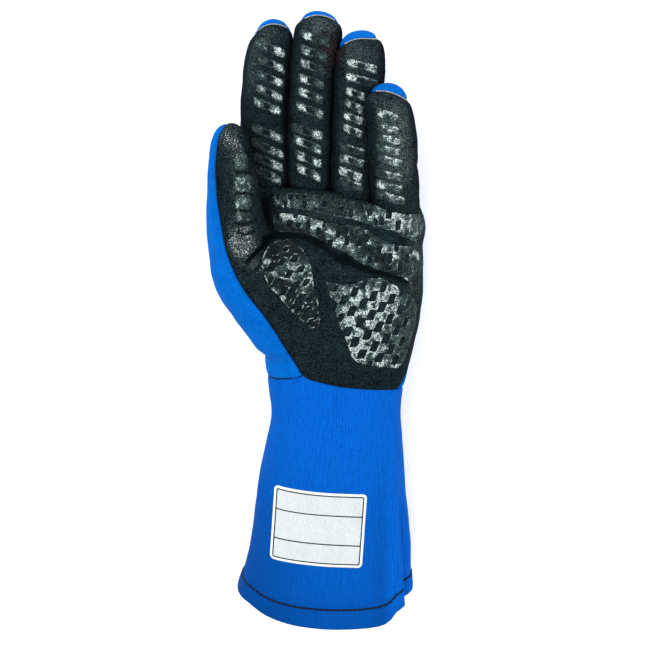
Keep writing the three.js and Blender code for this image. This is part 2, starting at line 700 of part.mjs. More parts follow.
function roundedLabel() {
  const { width, height, corner } = labelSize;
  const turn = radians(labelPlace.turn);
  const outline = [];
  for (const [sx, sy, first] of [[1, 1, 0], [-1, 1, 90], [-1, -1, 180], [1, -1, 270]]) {
    for (const step of [0, 45, 90]) {
      const angle = radians(first + step);
      const x = sx * (width / 2 - corner) + corner * Math.cos(angle);
      const y = sy * (height / 2 - corner) + corner * Math.sin(angle);
      outline.push([
        labelPlace.x + x * Math.cos(turn) - y * Math.sin(turn),
        labelPlace.y + x * Math.sin(turn) + y * Math.cos(turn),
      ]);
    }
  }
  return outline;
}
const label = skin(bodySolid, labelGap, labelThickness).intersect(column(roundedLabel(), palmLevel, ceiling));

function largest(solid) {
  return solid.decompose().sort((a, b) => b.volume() - a.volume())[0];
}

function meshOf(name, solid, material) {
  const { vertProperties, triVerts } = largest(solid).simplify(fineEdge).getMesh();
  const geometry = new THREE.BufferGeometry();
  geometry.setAttribute('position', new THREE.BufferAttribute(vertProperties, 3));
  geometry.setIndex(new THREE.BufferAttribute(triVerts, 1));
  geometry.computeVertexNormals();
  const mesh = new THREE.Mesh(geometry, material);
  mesh.name = name;
  return mesh;
}

const panelCloth = { cuff: colours.blueKnit, back_panel: colours.blueShell };
const glove = new THREE.Group();
for (const [name, solid] of Object.entries(panels)) {
  glove.add(meshOf(name, solid, panelCloth[name] ?? colours.blackSuede));
}
for (const [name, solid] of Object.entries(grips)) {
  glove.add(meshOf(name, solid, colours.silicone));
}
glove.add(meshOf('label', label, colours.labelCloth));

export default glove;
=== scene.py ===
import math
import bpy
import numpy as np
from mathutils import Matrix, Vector, noise
from mathutils.bvhtree import BVHTree


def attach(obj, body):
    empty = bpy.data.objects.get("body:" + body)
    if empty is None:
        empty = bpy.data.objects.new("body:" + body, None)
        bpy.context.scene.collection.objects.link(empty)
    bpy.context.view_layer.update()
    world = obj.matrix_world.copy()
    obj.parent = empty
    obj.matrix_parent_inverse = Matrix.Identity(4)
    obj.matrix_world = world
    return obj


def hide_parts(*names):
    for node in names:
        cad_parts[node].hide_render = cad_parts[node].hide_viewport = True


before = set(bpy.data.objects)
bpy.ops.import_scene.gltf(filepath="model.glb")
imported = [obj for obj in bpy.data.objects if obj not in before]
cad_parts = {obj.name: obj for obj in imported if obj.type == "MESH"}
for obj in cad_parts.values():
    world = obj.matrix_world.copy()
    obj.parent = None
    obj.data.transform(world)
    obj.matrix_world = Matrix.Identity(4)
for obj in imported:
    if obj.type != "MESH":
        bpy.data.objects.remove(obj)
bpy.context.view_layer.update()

# A left-hand racing glove lying on its back. The tables are in millimetres, the pieces are made in metres.
print("frame loaded,", len(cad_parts), "nodes")

toMetres = 0.001
cameraMake = {"distance": 1.1, "tilt": 15, "aim": (0, 0, 0.025), "lens": 113.7, "sensor": 36}


def smoothStep(x, low, high):
    f = np.clip((np.asarray(x, float) - low) / (high - low), 0, 1)
    return f * f * (3 - 2 * f)


# 1 at the middle, falling to 0 on both sides
def bell(x, width, middle=0):
    return np.exp(-((x - middle) / width) ** 2)


# squared distance from a centre, in shares of the reach across and along
def ovalDistance(x, y, centreX, centreY, reachX, reachY):
    return ((x - centreX) / reachX) ** 2 + ((y - centreY) / reachY) ** 2


# a table's columns by their names
def table(names, rows):
    return dict(zip(names.split(), np.array(rows, float).T))


# a table's column between its rows, on the same smooth curve as the solids have
def between(values, t):
    t = np.asarray(t, float)
    last = len(values) - 1
    i = np.clip(np.floor(t).astype(int), 0, last - 1)
    a, b, c, d = (values[np.clip(i + k, 0, last)] for k in (-1, 0, 1, 2))
    f = t - i
    low, high = np.minimum(b, c), np.maximum(b, c)
    curve = b + 0.5 * f * (c - a + f * (2 * a - 5 * b + 4 * c - d + f * (3 * (b - c) + d - a)))
    return np.clip(curve, low - 0.1 * (high - low), high + 0.1 * (high - low))


def rounded(angles, bulge):
    c, s = np.cos(angles), np.sin(angles)
    return np.sign(c) * np.abs(c) ** (2 / bulge), np.sign(s) * np.abs(s) ** (2 / bulge)


def turned(v, axis, degrees):
    a = math.radians(degrees)
    lengthwise = axis * np.sum(axis * v, -1, keepdims=True)
    return v * math.cos(a) + np.cross(axis, v) * math.sin(a) + lengthwise * (1 - math.cos(a))


def unit(v):
    return v / np.maximum(np.linalg.norm(v, axis=-1, keepdims=True), 1e-9)


# distance in plan from points to an open line
def lineDistance(x, y, line):
    best = np.full(np.shape(x), 1e9)
    for (x1, y1), (x2, y2) in zip(line[:-1], line[1:]):
        dx, dy = x2 - x1, y2 - y1
        f = np.clip(((x - x1) * dx + (y - y1) * dy) / (dx * dx + dy * dy), 0, 1)
        best = np.minimum(best, np.hypot(x - x1 - f * dx, y - y1 - f * dy))
    return best


# distance in plan to a closed outline, more than 0 inside
def insideDistance(x, y, outline):
    inside = np.zeros(np.shape(x), bool)
    for (x1, y1), (x2, y2) in zip(outline, outline[1:] + outline[:1]):
        if y1 != y2:
            inside ^= ((y1 > y) != (y2 > y)) & (x < x1 + (y - y1) * (x2 - x1) / (y2 - y1))
    distance = lineDistance(x, y, outline + outline[:1])
    return np.where(inside, distance, -distance)


# a smooth line through given points
def smoothLine(points, steps=8):
    p = np.array(points, float)
    t = np.linspace(0, len(p) - 1, (len(p) - 1) * steps + 1)
    return [(float(x), float(y)) for x, y in zip(between(p[:, 0], t), between(p[:, 1], t))]


def heightAlong(line, x):
    p = np.array(sorted(line))
    return np.interp(x, p[:, 0], p[:, 1])


# the body's slices from the knuckles to the hem, as the solids have them; a pad is x, y, its reach across and
# along, and its height
handForm = {
    "rows": table("y left right base top widest", [
        (77, -30, 42, 9, 20, 14),
        (73, -37, 49.5, 5.2, 26, 14),
        (66, -40, 53.4, 2.2, 30.5, 14),
        (56, -40, 55, 0.4, 34.5, 14.5),
        (42, -39.5, 53.8, 0, 37.5, 15),
        (28, -39, 54.2, 0, 39.5, 16),
        (14, -38.5, 54, 0, 41, 17),
        (0, -36.5, 52.7, 0, 41.5, 18),
        (-14, -33.5, 49.7, 0, 41.5, 18.5),
        (-28, -30.6, 46.3, 0, 41, 19),
        (-40, -29.2, 44.3, 0, 41, 19.5),
        (-52, -27.9, 43.2, 0, 42, 20),
        (-66, -30.4, 43.8, 0, 44, 20.5),
        (-84, -34.2, 45.2, 0, 46.5, 21),
        (-104, -36.8, 47, 0, 49, 21.5),
        (-124, -39.3, 48.9, 0, 51.5, 22),
        (-142, -43.4, 50, 0, 53.5, 22),
        (-155, -47.1, 50.9, 0, 54.5, 22),
    ]),
    "upperBulge": 2.35,
    "lowerBulge": 2.7,
    "backFlat": 1.14,
    "slantRate": -0.16,
    "slantFrom": 30,
    "slantTo": 74,
    "slantX": 6,
    "reliefFrom": -25,
    "reliefTo": -40,
    "pads": [
        (-17, 24, 15, 26, 1.8),
        (29, 4, 17, 25, 2.2),
        (12, 60, 45, 9, 1),
        (8, 36, 12, 9, -2.2),
        (0, 14, 6, 16, -2),
    ],
}

# the crease down the cuff's outer side, where the palm's layer folds over the back's
cuffPleat = {"angle": 21, "below": 11, "above": 7.5, "depth": 9.5, "lip": 2.2, "lipAngle": 37, "lipSpread": 9,
             "from": -70, "to": -150, "sink": 0.32}
# the lower edge: its level at the sides, how far up it pulls the cloth, and its drop from side to side
hemCurve = {"sides": -155, "ramp": 34, "drops": [
    (-46, 0), (-41.3, -0.9), (-38.2, -2.4), (-35, -4.1), (-31.9, -5.4), (-25.5, -7.4), (-19.2, -8.8),
    (-12.9, -9.8), (-6.6, -10.6), (0, -11.2), (8, -11.6), (18.7, -11.8), (25, -11.7), (31.3, -11.4),
    (34.5, -10.8), (37.6, -8.9), (40.8, -4.9), (44, -3.3), (48, -1.6), (52, 0)]}


def bodyRow(y):
    rows = handForm["rows"]
    t = np.interp(-np.asarray(y, float), -rows["y"], np.arange(len(rows["y"])))
    return {name: between(values, t) for name, values in rows.items() if name != "y"}


def palmRelief(x, y):
    relief = np.zeros(np.shape(x))
    for *place, height in handForm["pads"]:
        relief += height * np.exp(-ovalDistance(x, y, *place))
    return relief * smoothStep(y, handForm["reliefTo"], handForm["reliefFrom"])


def hemHang(x):
    return np.interp(x, *zip(*hemCurve["drops"]))


# points of the body's skin: y and angle are arrays of one shape, grow is how far outside it they stand
def bodySkin(y, angles, grow=0.0):
    row = bodyRow(y)
    centre, half = (row["left"] + row["right"]) / 2, (row["right"] - row["left"]) / 2 + grow
    upper = np.sin(angles) > 0
    acrossUp, up1 = rounded(angles, handForm["upperBulge"])
    acrossLow, up2 = rounded(angles, handForm["lowerBulge"])
    across, up = np.where(upper, acrossUp, acrossLow), np.where(upper, up1, up2)
    degrees = np.degrees(angles)
    degrees = np.where(degrees > 180, degrees - 360, degrees)
    strength = 1 - smoothStep(y, cuffPleat["to"], cuffPleat["from"])
    spread = np.where(degrees < cuffPleat["angle"], cuffPleat["below"], cuffPleat["above"])
    dent = cuffPleat["depth"] * strength * bell(degrees, spread, cuffPleat["angle"])
    lip = cuffPleat["lip"] * strength * bell(degrees, cuffPleat["lipSpread"], cuffPleat["lipAngle"])
    x = centre + across * half - (dent - lip) * np.maximum(across, 0)
    tall = np.where(upper, row["top"] - row["widest"], (row["widest"] - row["base"]) * handForm["backFlat"])
    relief = np.where(upper, palmRelief(x, y) * up, 0)
    z = np.maximum(row["widest"] + (tall + grow) * up + relief - dent * cuffPleat["sink"], row["base"] - grow)
    slantRate = handForm["slantRate"] * smoothStep(y, handForm["slantFrom"], handForm["slantTo"])
    slant = slantRate * (x - handForm["slantX"])
    nearHem = 1 - smoothStep(y, hemCurve["sides"], hemCurve["sides"] + hemCurve["ramp"])
    hang = np.where(upper, hemHang(x) * nearHem, 0)
    return np.stack([x, y + slant + hang, z], -1)


# each limb's slices from its root to its tip; seam is the level of the blue and black seam above the middle
limbForms = {
    "index": {
        "roll": -4, "tipRound": 13, "cap": [(-36.5, 156.9), (-26.5, 161.7), (-16.5, 158.0)], "leftDrop": 2.5,
        "rows": table("x y z width depth seam", [
            (-29.8, 60, 13.6, 25.4, 23.2, -1.5),
            (-30.2, 82, 17, 26.8, 22.5, -1.5),
            (-30.4, 99, 20, 26.2, 22, -1.5),
            (-30.1, 115, 23, 25.6, 21.5, -1.5),
            (-29.1, 132, 27, 25, 20.5, -1.5),
            (-27.3, 145, 30, 24.2, 19.5, -1),
            (-22.8, 163.2, 34, 20.4, 18.5, -2.5),
        ]),
    },
    "middle": {
        "roll": 2, "tipRound": 13, "cap": [(-11.8, 163.6), (-2.6, 166.5), (9.3, 161.9)], "leftDrop": 1.5,
        "rows": table("x y z width depth seam", [
            (-6.7, 60, 14.2, 24.2, 23.4, -1.5),
            (-6.7, 82, 19, 24.6, 22.5, -1.5),
            (-6.4, 99, 23, 24.6, 22, -1.5),
            (-5.7, 116, 27, 24, 21.5, -1.5),
            (-5, 132, 31, 24, 20.5, -1.5),
            (-3.4, 147, 35, 24.8, 19.5, -1),
            (-0.5, 168.4, 41, 24.5, 18.5, -2.5),
        ]),
    },
    "ring": {
        "roll": 10, "tipRound": 13, "cap": [(8.6, 148.5), (21.3, 153.9), (31.1, 153.5)], "leftDrop": 5,
        "rows": table("x y z width depth seam", [
            (15, 58, 16, 22.6, 22.8, -1.5),
            (15.9, 82, 24, 23.2, 21.6, -1.5),
            (16.9, 100, 29.2, 23.6, 21, -1.5),
            (17.8, 117, 34.2, 24.6, 20, -1.5),
            (18.8, 132, 38.7, 25.2, 19.3, -1.5),
            (19.4, 143, 41.7, 25.2, 18.8, -1),
            (20, 158.9, 46, 21.4, 18, -2.5),
        ]),
    },
    "little": {
        "roll": 16, "tipRound": 12.5, "cap": [(26.4, 125.0), (31.1, 125.6), (46.7, 119.6)], "leftDrop": 6,
        "rows": table("x y z width depth seam", [
            (39.7, 52, 18.5, 25.2, 22.6, -1.5),
            (38.2, 73, 29, 25.6, 21, -1.5),
            (36.9, 91.5, 39, 25.4, 20, -1.5),
            (36.1, 102.7, 44, 25.2, 19.4, -1.5),
            (35, 113.8, 48.5, 24.1, 18.6, -1.5),
            (32.8, 122.8, 51.4, 21.8, 17.8, -1),
            (29, 131.7, 54.4, 18.6, 17, -2.5),
        ]),
    },
    "thumb": {
        "roll": 46, "tipRound": 16,
        "rows": table("x y z width depth seam", [
            (-10, -18, 21, 31, 30, -4),
            (-20.6, 0, 23.5, 46.5, 34, -4),
            (-32, 14, 26.5, 47.5, 36, -4),
            (-39.2, 28, 31, 43, 34, -4),
            (-42.8, 43, 36, 38, 31, -4),
            (-45.6, 57, 40.3, 33, 28, -4),
            (-46.4, 71.4, 43.5, 29, 25.5, -4),
            (-46.8, 83.6, 45.7, 26.2, 23.8, -4),
            (-47.6, 96.5, 47.2, 23, 21, -3),
            (-48.6, 112.2, 49, 19, 18, -2),
        ]),
    },
}
limbBulge, domePower = 2.15, 2.3
fingerNames = ["index", "middle", "ring", "little"]


# centre points of a limb on a centripetal curve through its rows
def limbPoint(limb, t):
    p = np.stack([limb["rows"][k] for k in "xyz"], -1)
    p = np.vstack([2 * p[0] - p[1], p, 2 * p[-1] - p[-2]])
    last = len(p) - 4
    s = np.clip(np.asarray(t, float), 0, 1) * (last + 1)
    i = np.clip(np.floor(s).astype(int), 0, last)
    f = (s - i)[..., None]
    p0, p1, p2, p3 = (p[i + k] for k in range(4))
    d0, d1, d2 = (np.maximum(np.sum((b - a) ** 2, -1, keepdims=True) ** 0.25, 1e-4)
                  for a, b in ((p0, p1), (p1, p2), (p2, p3)))
    m1 = ((p1 - p0) / d0 - (p2 - p0) / (d0 + d1) + (p2 - p1) / d1) * d1
    m2 = ((p2 - p1) / d1 - (p3 - p1) / (d1 + d2) + (p3 - p2) / d2) * d1
    return p1 + m1 * f + (-3 * p1 + 3 * p2 - 2 * m1 - m2) * f ** 2 + (2 * p1 - 2 * p2 + m1 + m2) * f ** 3


def limbFrame(limb, t):
    t = np.asarray(t, float)
    step = 1e-4
    along = unit(limbPoint(limb, np.minimum(t + step, 1)) - limbPoint(limb, np.maximum(t - step, 0)))
    side = unit(np.cross(along, [0, 0, 1]))
    palmward = unit(np.cross(side, along))
    return limbPoint(limb, t), along, turned(side, along, limb["roll"]), turned(palmward, along, limb["roll"])


def limbColumn(limb, name, t):
    values = limb["rows"][name]
    return between(values, np.asarray(t, float) * (len(values) - 1))


def limbLength(limb):
    points = limbPoint(limb, np.linspace(0, 1, 200))
    return float(np.linalg.norm(np.diff(points, axis=0), axis=1).sum())


# rings of a limb from its root to its tip, closed by a dome
def limbRings(limb, around, step, domeRings=16):
    domeStart = 1 - limb["tipRound"] / limbLength(limb)
    shaft = np.linspace(0, domeStart, max(int(limbLength(limb) * domeStart / step), 4))
    f = np.sin(np.linspace(0, math.pi / 2, domeRings + 1)[1:-1])
    t = np.concatenate([shaft, domeStart + (1 - domeStart) * f])
    shrink = np.concatenate([np.ones(len(shaft)), (1 - f ** domePower) ** (1 / domePower)])
    angles = 2 * math.pi * np.arange(around) / around
    across, up = rounded(angles, limbBulge)
    centre, _, side, palmward = limbFrame(limb, t)
    halfWidth, halfDepth = (limbColumn(limb, name, t) / 2 * shrink for name in ("width", "depth"))
    u = halfWidth[:, None] * across
    v = halfDepth[:, None] * up
    rings = centre[:, None] + u[..., None] * side[:, None] + v[..., None] * palmward[:, None]
    return rings, dict(t=np.repeat(t[:, None], around, 1), u=u, v=v), limbPoint(limb, 1.0)


# triangles of a tube of rings, closed by a point at its end and, if asked, at its start
def tubeFaces(rings, around, closeStart=False):
    faces = []
    i = np.arange(around)
    j = (i + 1) % around
    for r in range(rings - 1):
        a, b, c, d = r * around + i, r * around + j, (r + 1) * around + j, (r + 1) * around + i
        faces += [np.stack([a, b, c], -1), np.stack([a, c, d], -1)]
    tip = rings * around
    last = (rings - 1) * around
    faces.append(np.stack([last + i, last + j, np.full(around, tip)], -1))
    if closeStart:
        faces.append(np.stack([j, i, np.full(around, tip + 1)], -1))
    return np.vstack(faces)


def outward(points, faces):
    a, b, c = points[faces[:, 0]], points[faces[:, 1]], points[faces[:, 2]]
    volume = np.sum(a * np.cross(b, c))
    return faces if volume > 0 else faces[:, ::-1].copy()


def closedTube(rings, tip):
    points = np.vstack([rings.reshape(-1, 3), tip[None], rings[0].mean(0)[None]])
    return points, outward(points, tubeFaces(len(rings), rings.shape[1], True))


# a mesh here is a dictionary of points, triangles and values at the points
def pointNormals(points, faces):
    a, b, c = points[faces[:, 0]], points[faces[:, 1]], points[faces[:, 2]]
    n = np.cross(b - a, c - a)
    total = np.zeros_like(points)
    for k in range(3):
        np.add.at(total, faces[:, k], n)
    return unit(total)


def sides(faces):
    return np.sort(np.vstack([faces[:, [0, 1]], faces[:, [1, 2]], faces[:, [2, 0]]]), 1)


def relax(points, faces, rounds, weight=0.5):
    edges = np.unique(sides(faces), axis=0)
    count = np.zeros(len(points))
    np.add.at(count, edges.ravel(), 1)
    weight = np.asarray(weight, float) * np.ones(len(points))
    for _ in range(rounds):
        total = np.zeros_like(points)
        np.add.at(total, edges[:, 0], points[edges[:, 1]])
        np.add.at(total, edges[:, 1], points[edges[:, 0]])
        points = points + (total / np.maximum(count, 1)[:, None] - points) * weight[:, None]
    return points


# distance along the surface to where a field is 0
def surfaceDistance(field, points, normals, step=0.4, least=0.25):
    value = field(points)
    slope = [(field(points + step * e) - field(points - step * e)) / (2 * step) for e in np.eye(3)]
    slope = np.stack(slope, -1)
    slope -= normals * np.sum(slope * normals, -1, keepdims=True)
    size = np.maximum(np.linalg.norm(slope, axis=-1), least)
    return value / size, slope / size[:, None]


# cuts the triangles along a field's 0 line; points close to it are first moved onto it
def cutAlong(mesh, values):
    points, faces, data = mesh["points"], mesh["faces"], mesh["data"]
    sign = np.sign(values)
    s = sign[faces]
    mixed = (s.min(1) < 0) & (s.max(1) > 0)
    if not mixed.any():
        return mesh
    cut, rest = faces[mixed], faces[~mixed]
    s = sign[cut]
    zeros = (s == 0).any(1)
    lone = np.where(zeros, np.argmax(s == 0, 1), np.argmax(s == -s.sum(1, keepdims=True).clip(-1, 1), 1))
    order = (lone[:, None] + np.arange(3)) % 3
    tri = np.take_along_axis(cut, order, 1)
    count = len(points)
    pairs = [tri[zeros][:, [1, 2]], tri[~zeros][:, [0, 1]], tri[~zeros][:, [0, 2]]]
    keys = [np.sort(p, 1) @ np.array([count, 1]) for p in pairs]
    unique = np.unique(np.concatenate(keys))
    a, b = unique // count, unique % count
    f = values[a] / (values[a] - values[b])

    def mix(array):
        return array[a] + (array[b] - array[a]) * (f if array.ndim == 1 else f[:, None])

    m = [count + np.searchsorted(unique, k) for k in keys]
    z, w = tri[zeros], tri[~zeros]
    pieces = [rest, np.stack([z[:, 0], z[:, 1], m[0]], -1), np.stack([z[:, 0], m[0], z[:, 2]], -1),
              np.stack([w[:, 0], m[1], m[2]], -1), np.stack([m[1], w[:, 1], w[:, 2]], -1),
              np.stack([m[1], w[:, 2], m[2]], -1)]
    return {"points": np.vstack([points, mix(points)]), "faces": np.vstack(pieces),
            "data": {name: np.concatenate([array, mix(array)]) for name, array in data.items()}}


def part(mesh, wanted):
    faces = mesh["faces"][wanted]
    used, index = np.unique(faces, return_inverse=True)
    return {"points": mesh["points"][used], "faces": index.reshape(faces.shape),
            "data": {name: array[used] for name, array in mesh["data"].items()}}


def faceMean(mesh, values):
    return values[mesh["faces"]].mean(1)


def joined(meshes):
    names = set.intersection(*(set(m["data"]) for m in meshes))
    starts = np.cumsum([0] + [len(m["points"]) for m in meshes[:-1]])
    return {"points": np.vstack([m["points"] for m in meshes]),
            "faces": np.vstack([m["faces"] + s for m, s in zip(meshes, starts)]),
            "data": {name: np.concatenate([m["data"][name] for m in meshes]) for name in names}}


def finer(mesh):
    faces, points, data = mesh["faces"], mesh["points"], mesh["data"]
    unique, index = np.unique(sides(faces), axis=0, return_inverse=True)
    index = index.ravel().reshape(3, -1) + len(points)
    ab, bc, ca = index
    a, b, c = faces.T
    newFaces = np.vstack([np.stack(f, -1) for f in ((a, ab, ca), (ab, b, bc), (ca, bc, c), (ab, bc, ca))])

    def half(array):
        return (array[unique[:, 0]] + array[unique[:, 1]]) / 2

    return {"points": np.vstack([points, half(points)]), "faces": newFaces,
            "data": {name: np.concatenate([array, half(array)]) for name, array in data.items()}}


def blenderMesh(name, points, faces):
    mesh = bpy.data.meshes.new(name)
    mesh.vertices.add(len(points))
    mesh.vertices.foreach_set("co", (points * toMetres).astype(np.float32).ravel())
    mesh.loops.add(faces.size)
    mesh.loops.foreach_set("vertex_index", faces.astype(np.int32).ravel())
    mesh.polygons.add(len(faces))
    mesh.polygons.foreach_set("loop_start", (np.arange(len(faces)) * faces.shape[1]).astype(np.int32))
    mesh.polygons.foreach_set("use_smooth", np.ones(len(faces), bool))
    mesh.update(calc_edges=True)
    mesh.validate()
    return mesh


# the first value holds real wear and painted light: painted shade on the suede and the cuff, painted
# highlights on the silicone films
materialValues = ("wearAndPaintedLight", "rim", "warmth", "specks", "alongCloth", "acrossCloth")


# a finished piece: values become mesh attributes that the materials read
def makePiece(name, mesh, materials, nodes=(), thickness=0.0, faceSlots=None):
    data = blenderMesh(name, mesh["points"], mesh["faces"])
    for key, values in mesh["data"].items():
        if key in materialValues:
            attribute = data.attributes.new(key, "FLOAT", "POINT")
            attribute.data.foreach_set("value", values.astype(np.float32))
    for material in materials:
        data.materials.append(material)
    if faceSlots is not None:
        data.polygons.foreach_set("material_index", faceSlots.astype(np.int32))
    piece = bpy.data.objects.new(name, data)
    bpy.context.scene.collection.objects.link(piece)
    if thickness:
        solid = piece.modifiers.new("clothThickness", "SOLIDIFY")
        solid.thickness = thickness * toMetres
        solid.offset = -1
    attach(piece, "root")
    if nodes:
        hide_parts(*nodes)
    return piece


# the hand's shell: body, thumb and finger roots are fused, then cut into panels
handShell = {
    "voxel": 0.85,
    "bodyFrom": 76.9,
    "bodyTo": -58,
    "bodyStep": 2.0,
    "around": 170,
    "endRings": (0.75, 0.5, 0.3, 0.12),
    "endDome": 3.2,
    "rootRings": (48, 2.0),
    "thumbRings": (72, 1.5, 20),
    "stubPast": 14,
    "cloth": 1.6,
    "relaxRounds": 5,
    "crotchRounds": 14,
    "crotchAlong": (56, 64),
    "crotchHeights": (34, 26),
    "thumbCrotch": (-30, 47, 9, 9),
    "nudgeAcross": (8, 40),
    "nearCut": 2.5,
    "snapCut": 0.26,
}
# seams in plan: where the cuff is sewn on, the foot of the fingers and the thumb's foot; the black panel's
# left edge is as seen from the photograph's viewpoint, and outerRise is its level over the outer side, by y
seamLines = {
    "wrist": [(-95, -30.5), (-29, -30.5), (-18, -28.2), (-11, -26), (-5.6, -28.5), (9.4, -31.8),
              (22.8, -33.5), (33.7, -34.7), (47, -36.5), (95, -38)],
    "fingers": [(-95, 76), (-30.5, 75.2), (-11.9, 74.3), (4, 72.9), (22.5, 68), (33.4, 64.3), (41.8, 61.7),
                (70, 57), (95, 54)],
    "blackLeft": [(-50.8, 110.4), (-53.2, 106.1), (-55.4, 102.9), (-57.0, 98.6), (-58.1, 91.5), (-58.6, 83.4),
                  (-57.8, 72.6), (-57.0, 63.5), (-55.6, 55.4), (-54.3, 47.8), (-52.1, 38.1), (-48.9, 29.4),
                  (-44.6, 20.8), (-38.6, 12.2), (-31.6, 3.5), (-25.7, -5.1), (-20.2, -13.8), (-14.9, -22.4),
                  (-11.1, -28.9)],
    "outerRise": [(-42, 32.5), (-38, 31), (-33, 28), (-27, 22.6), (-21, 17.5), (-14, 14.6), (-8, 14)],
    "thumbFoot": [(-20, 55.5), (-31.5, 46.5), (-40, 37.5), (-52, 26), (-70, 10)],
    "backPastFingers": 5,
    "webDrop": 6.5,
    "webAlong": (57, 64),
    "webEnds": (45, 38),
    "webGaps": [(27, 56, 6), (5, 64, 4), (-18, 66, 7)],
    "gapReach": 4,
    "gapRise": 5,
    "middleX": 6,
    "crotchLow": 14,
    "crotchHigh": 26,
    "outerLevel": 14,
    "thumbLevel": 31,
    "thumbLevelAcross": (30, 42),
    "thumbBlend": 7,
    "thumbFade": (1.06, 1.25),
    "thumbFit": 1.12,
    "thumbReach": 1.25,
    "fitSteepness": 25,
}


def voxelFused(meshes, voxel):
    points, faces, start = [], [], 0
    for p, f in meshes:
        points.append(p)
        faces.append(f + start)
        start += len(p)
    data = blenderMesh("fusing", np.vstack(points), np.vstack(faces))
    rough = bpy.data.objects.new("fusing", data)
    bpy.context.scene.collection.objects.link(rough)
    remesh = rough.modifiers.new("fuse", "REMESH")
    remesh.mode = "VOXEL"
    remesh.voxel_size = voxel * toMetres
    fused = rough.evaluated_get(bpy.context.evaluated_depsgraph_get()).to_mesh()
    fused.calc_loop_triangles()
    points = np.empty(len(fused.vertices) * 3)
    fused.vertices.foreach_get("co", points)
    faces = np.empty(len(fused.loop_triangles) * 3, np.int32)
    fused.loop_triangles.foreach_get("vertices", faces)
    bpy.data.objects.remove(rough)
    return points.reshape(-1, 3) / toMetres, faces.reshape(-1, 3)


def bodyTube():
    angles = 2 * math.pi * (np.arange(handShell["around"]) + 0.5) / handShell["around"]
    ys = np.arange(handShell["bodyFrom"], handShell["bodyTo"], -handShell["bodyStep"])
    rings = [bodySkin(np.full(len(angles), y), angles) for y in ys]
    middle = rings[0].mean(0)
    ends = []
    for f in handShell["endRings"]:
        rise = handShell["endDome"] * math.sin(f * math.pi / 2)
        ends.append(rings[0] + (middle - rings[0]) * f + [0, rise, 0])
    rings = np.array(ends + rings)
    return closedTube(rings, rings[-1].mean(0))


def fingerRoot(limb):
    rings, _, _ = limbRings(limb, *handShell["rootRings"])
    foot = np.interp(limb["rows"]["x"][0], *zip(*seamLines["fingers"]))
    rings = rings[rings[:, :, 1].mean(1) < foot + handShell["stubPast"]]
    return closedTube(rings, rings[-1].mean(0))


def thumbTube():
    rings, _, tip = limbRings(limbForms["thumb"], *handShell["thumbRings"])
    return closedTube(rings, tip)


# the level in plan at which a point passes from the hand to the fingers, lower down on the back
def fingerLine(x, z):
    palmSide = heightAlong(seamLines["fingers"], x)
    share = smoothStep(z, seamLines["crotchLow"], seamLines["crotchHigh"])
    return palmSide + seamLines["backPastFingers"] * (1 - share)


def handField(p):
    offThumb = seamLines["fitSteepness"] * (seamLines["thumbReach"] - thumbPlace(p)[3])
    return np.maximum(fingerLine(p[:, 0], p[:, 2]) - p[:, 1], offThumb)


def wristField(p):
    return p[:, 1] - heightAlong(seamLines["wrist"], p[:, 0])


# millimetres across and up the picture, at the depth of the camera's aim
def seen(p):
    tilt = math.radians(cameraMake["tilt"])
    far, middle = cameraMake["distance"] / toMetres, cameraMake["aim"][2] / toMetres
    up, near = p[..., 1] * math.cos(tilt), p[..., 2] - middle
    scale = far / (far - p[..., 1] * math.sin(tilt) - near * math.cos(tilt))
    return p[..., 0] * scale, (up - near * math.sin(tilt)) * scale


blackOutline = smoothLine(seamLines["blackLeft"], 4) + [(-5, -60), (100, -60), (100, 150), (-52, 150)]
thumbSamples = np.linspace(0, 1, 160)
thumbCentre, _, thumbSide, thumbPalmward = limbFrame(limbForms["thumb"], thumbSamples)
thumbSeam = limbColumn(limbForms["thumb"], "seam", thumbSamples)
thumbHalf = [limbColumn(limbForms["thumb"], name, thumbSamples) / 2 for name in ("width", "depth")]


# where a point is on the thumb: its slice, how far across and above the slice's middle, and how near the skin
def thumbPlace(p):
    nearest = np.argmin(((p[:, None, :] - thumbCentre[None]) ** 2).sum(-1), 1)
    off = p - thumbCentre[nearest]
    across, up = np.sum(off * thumbSide[nearest], -1), np.sum(off * thumbPalmward[nearest], -1)
    halfWidth, halfDepth = (half[nearest] for half in thumbHalf)
    fit = np.abs(across / halfWidth) ** limbBulge + np.abs(up / halfDepth) ** limbBulge
    return nearest, across, up, fit ** (1 / limbBulge)


def thumbShare(p):
    nearest, across, _, _ = thumbPlace(p)
    return across / thumbHalf[0][nearest]


def thumbFootSide(p):
    foot = seamLines["thumbFoot"]
    return np.where(p[:, 1] > heightAlong(foot, p[:, 0]), 1, -1) * lineDistance(p[:, 0], p[:, 1], foot)


def thumbFootField(p):
    onThumb = seamLines["fitSteepness"] * (seamLines["thumbFit"] - thumbPlace(p)[3])
    return np.minimum(thumbFootSide(p), onThumb)


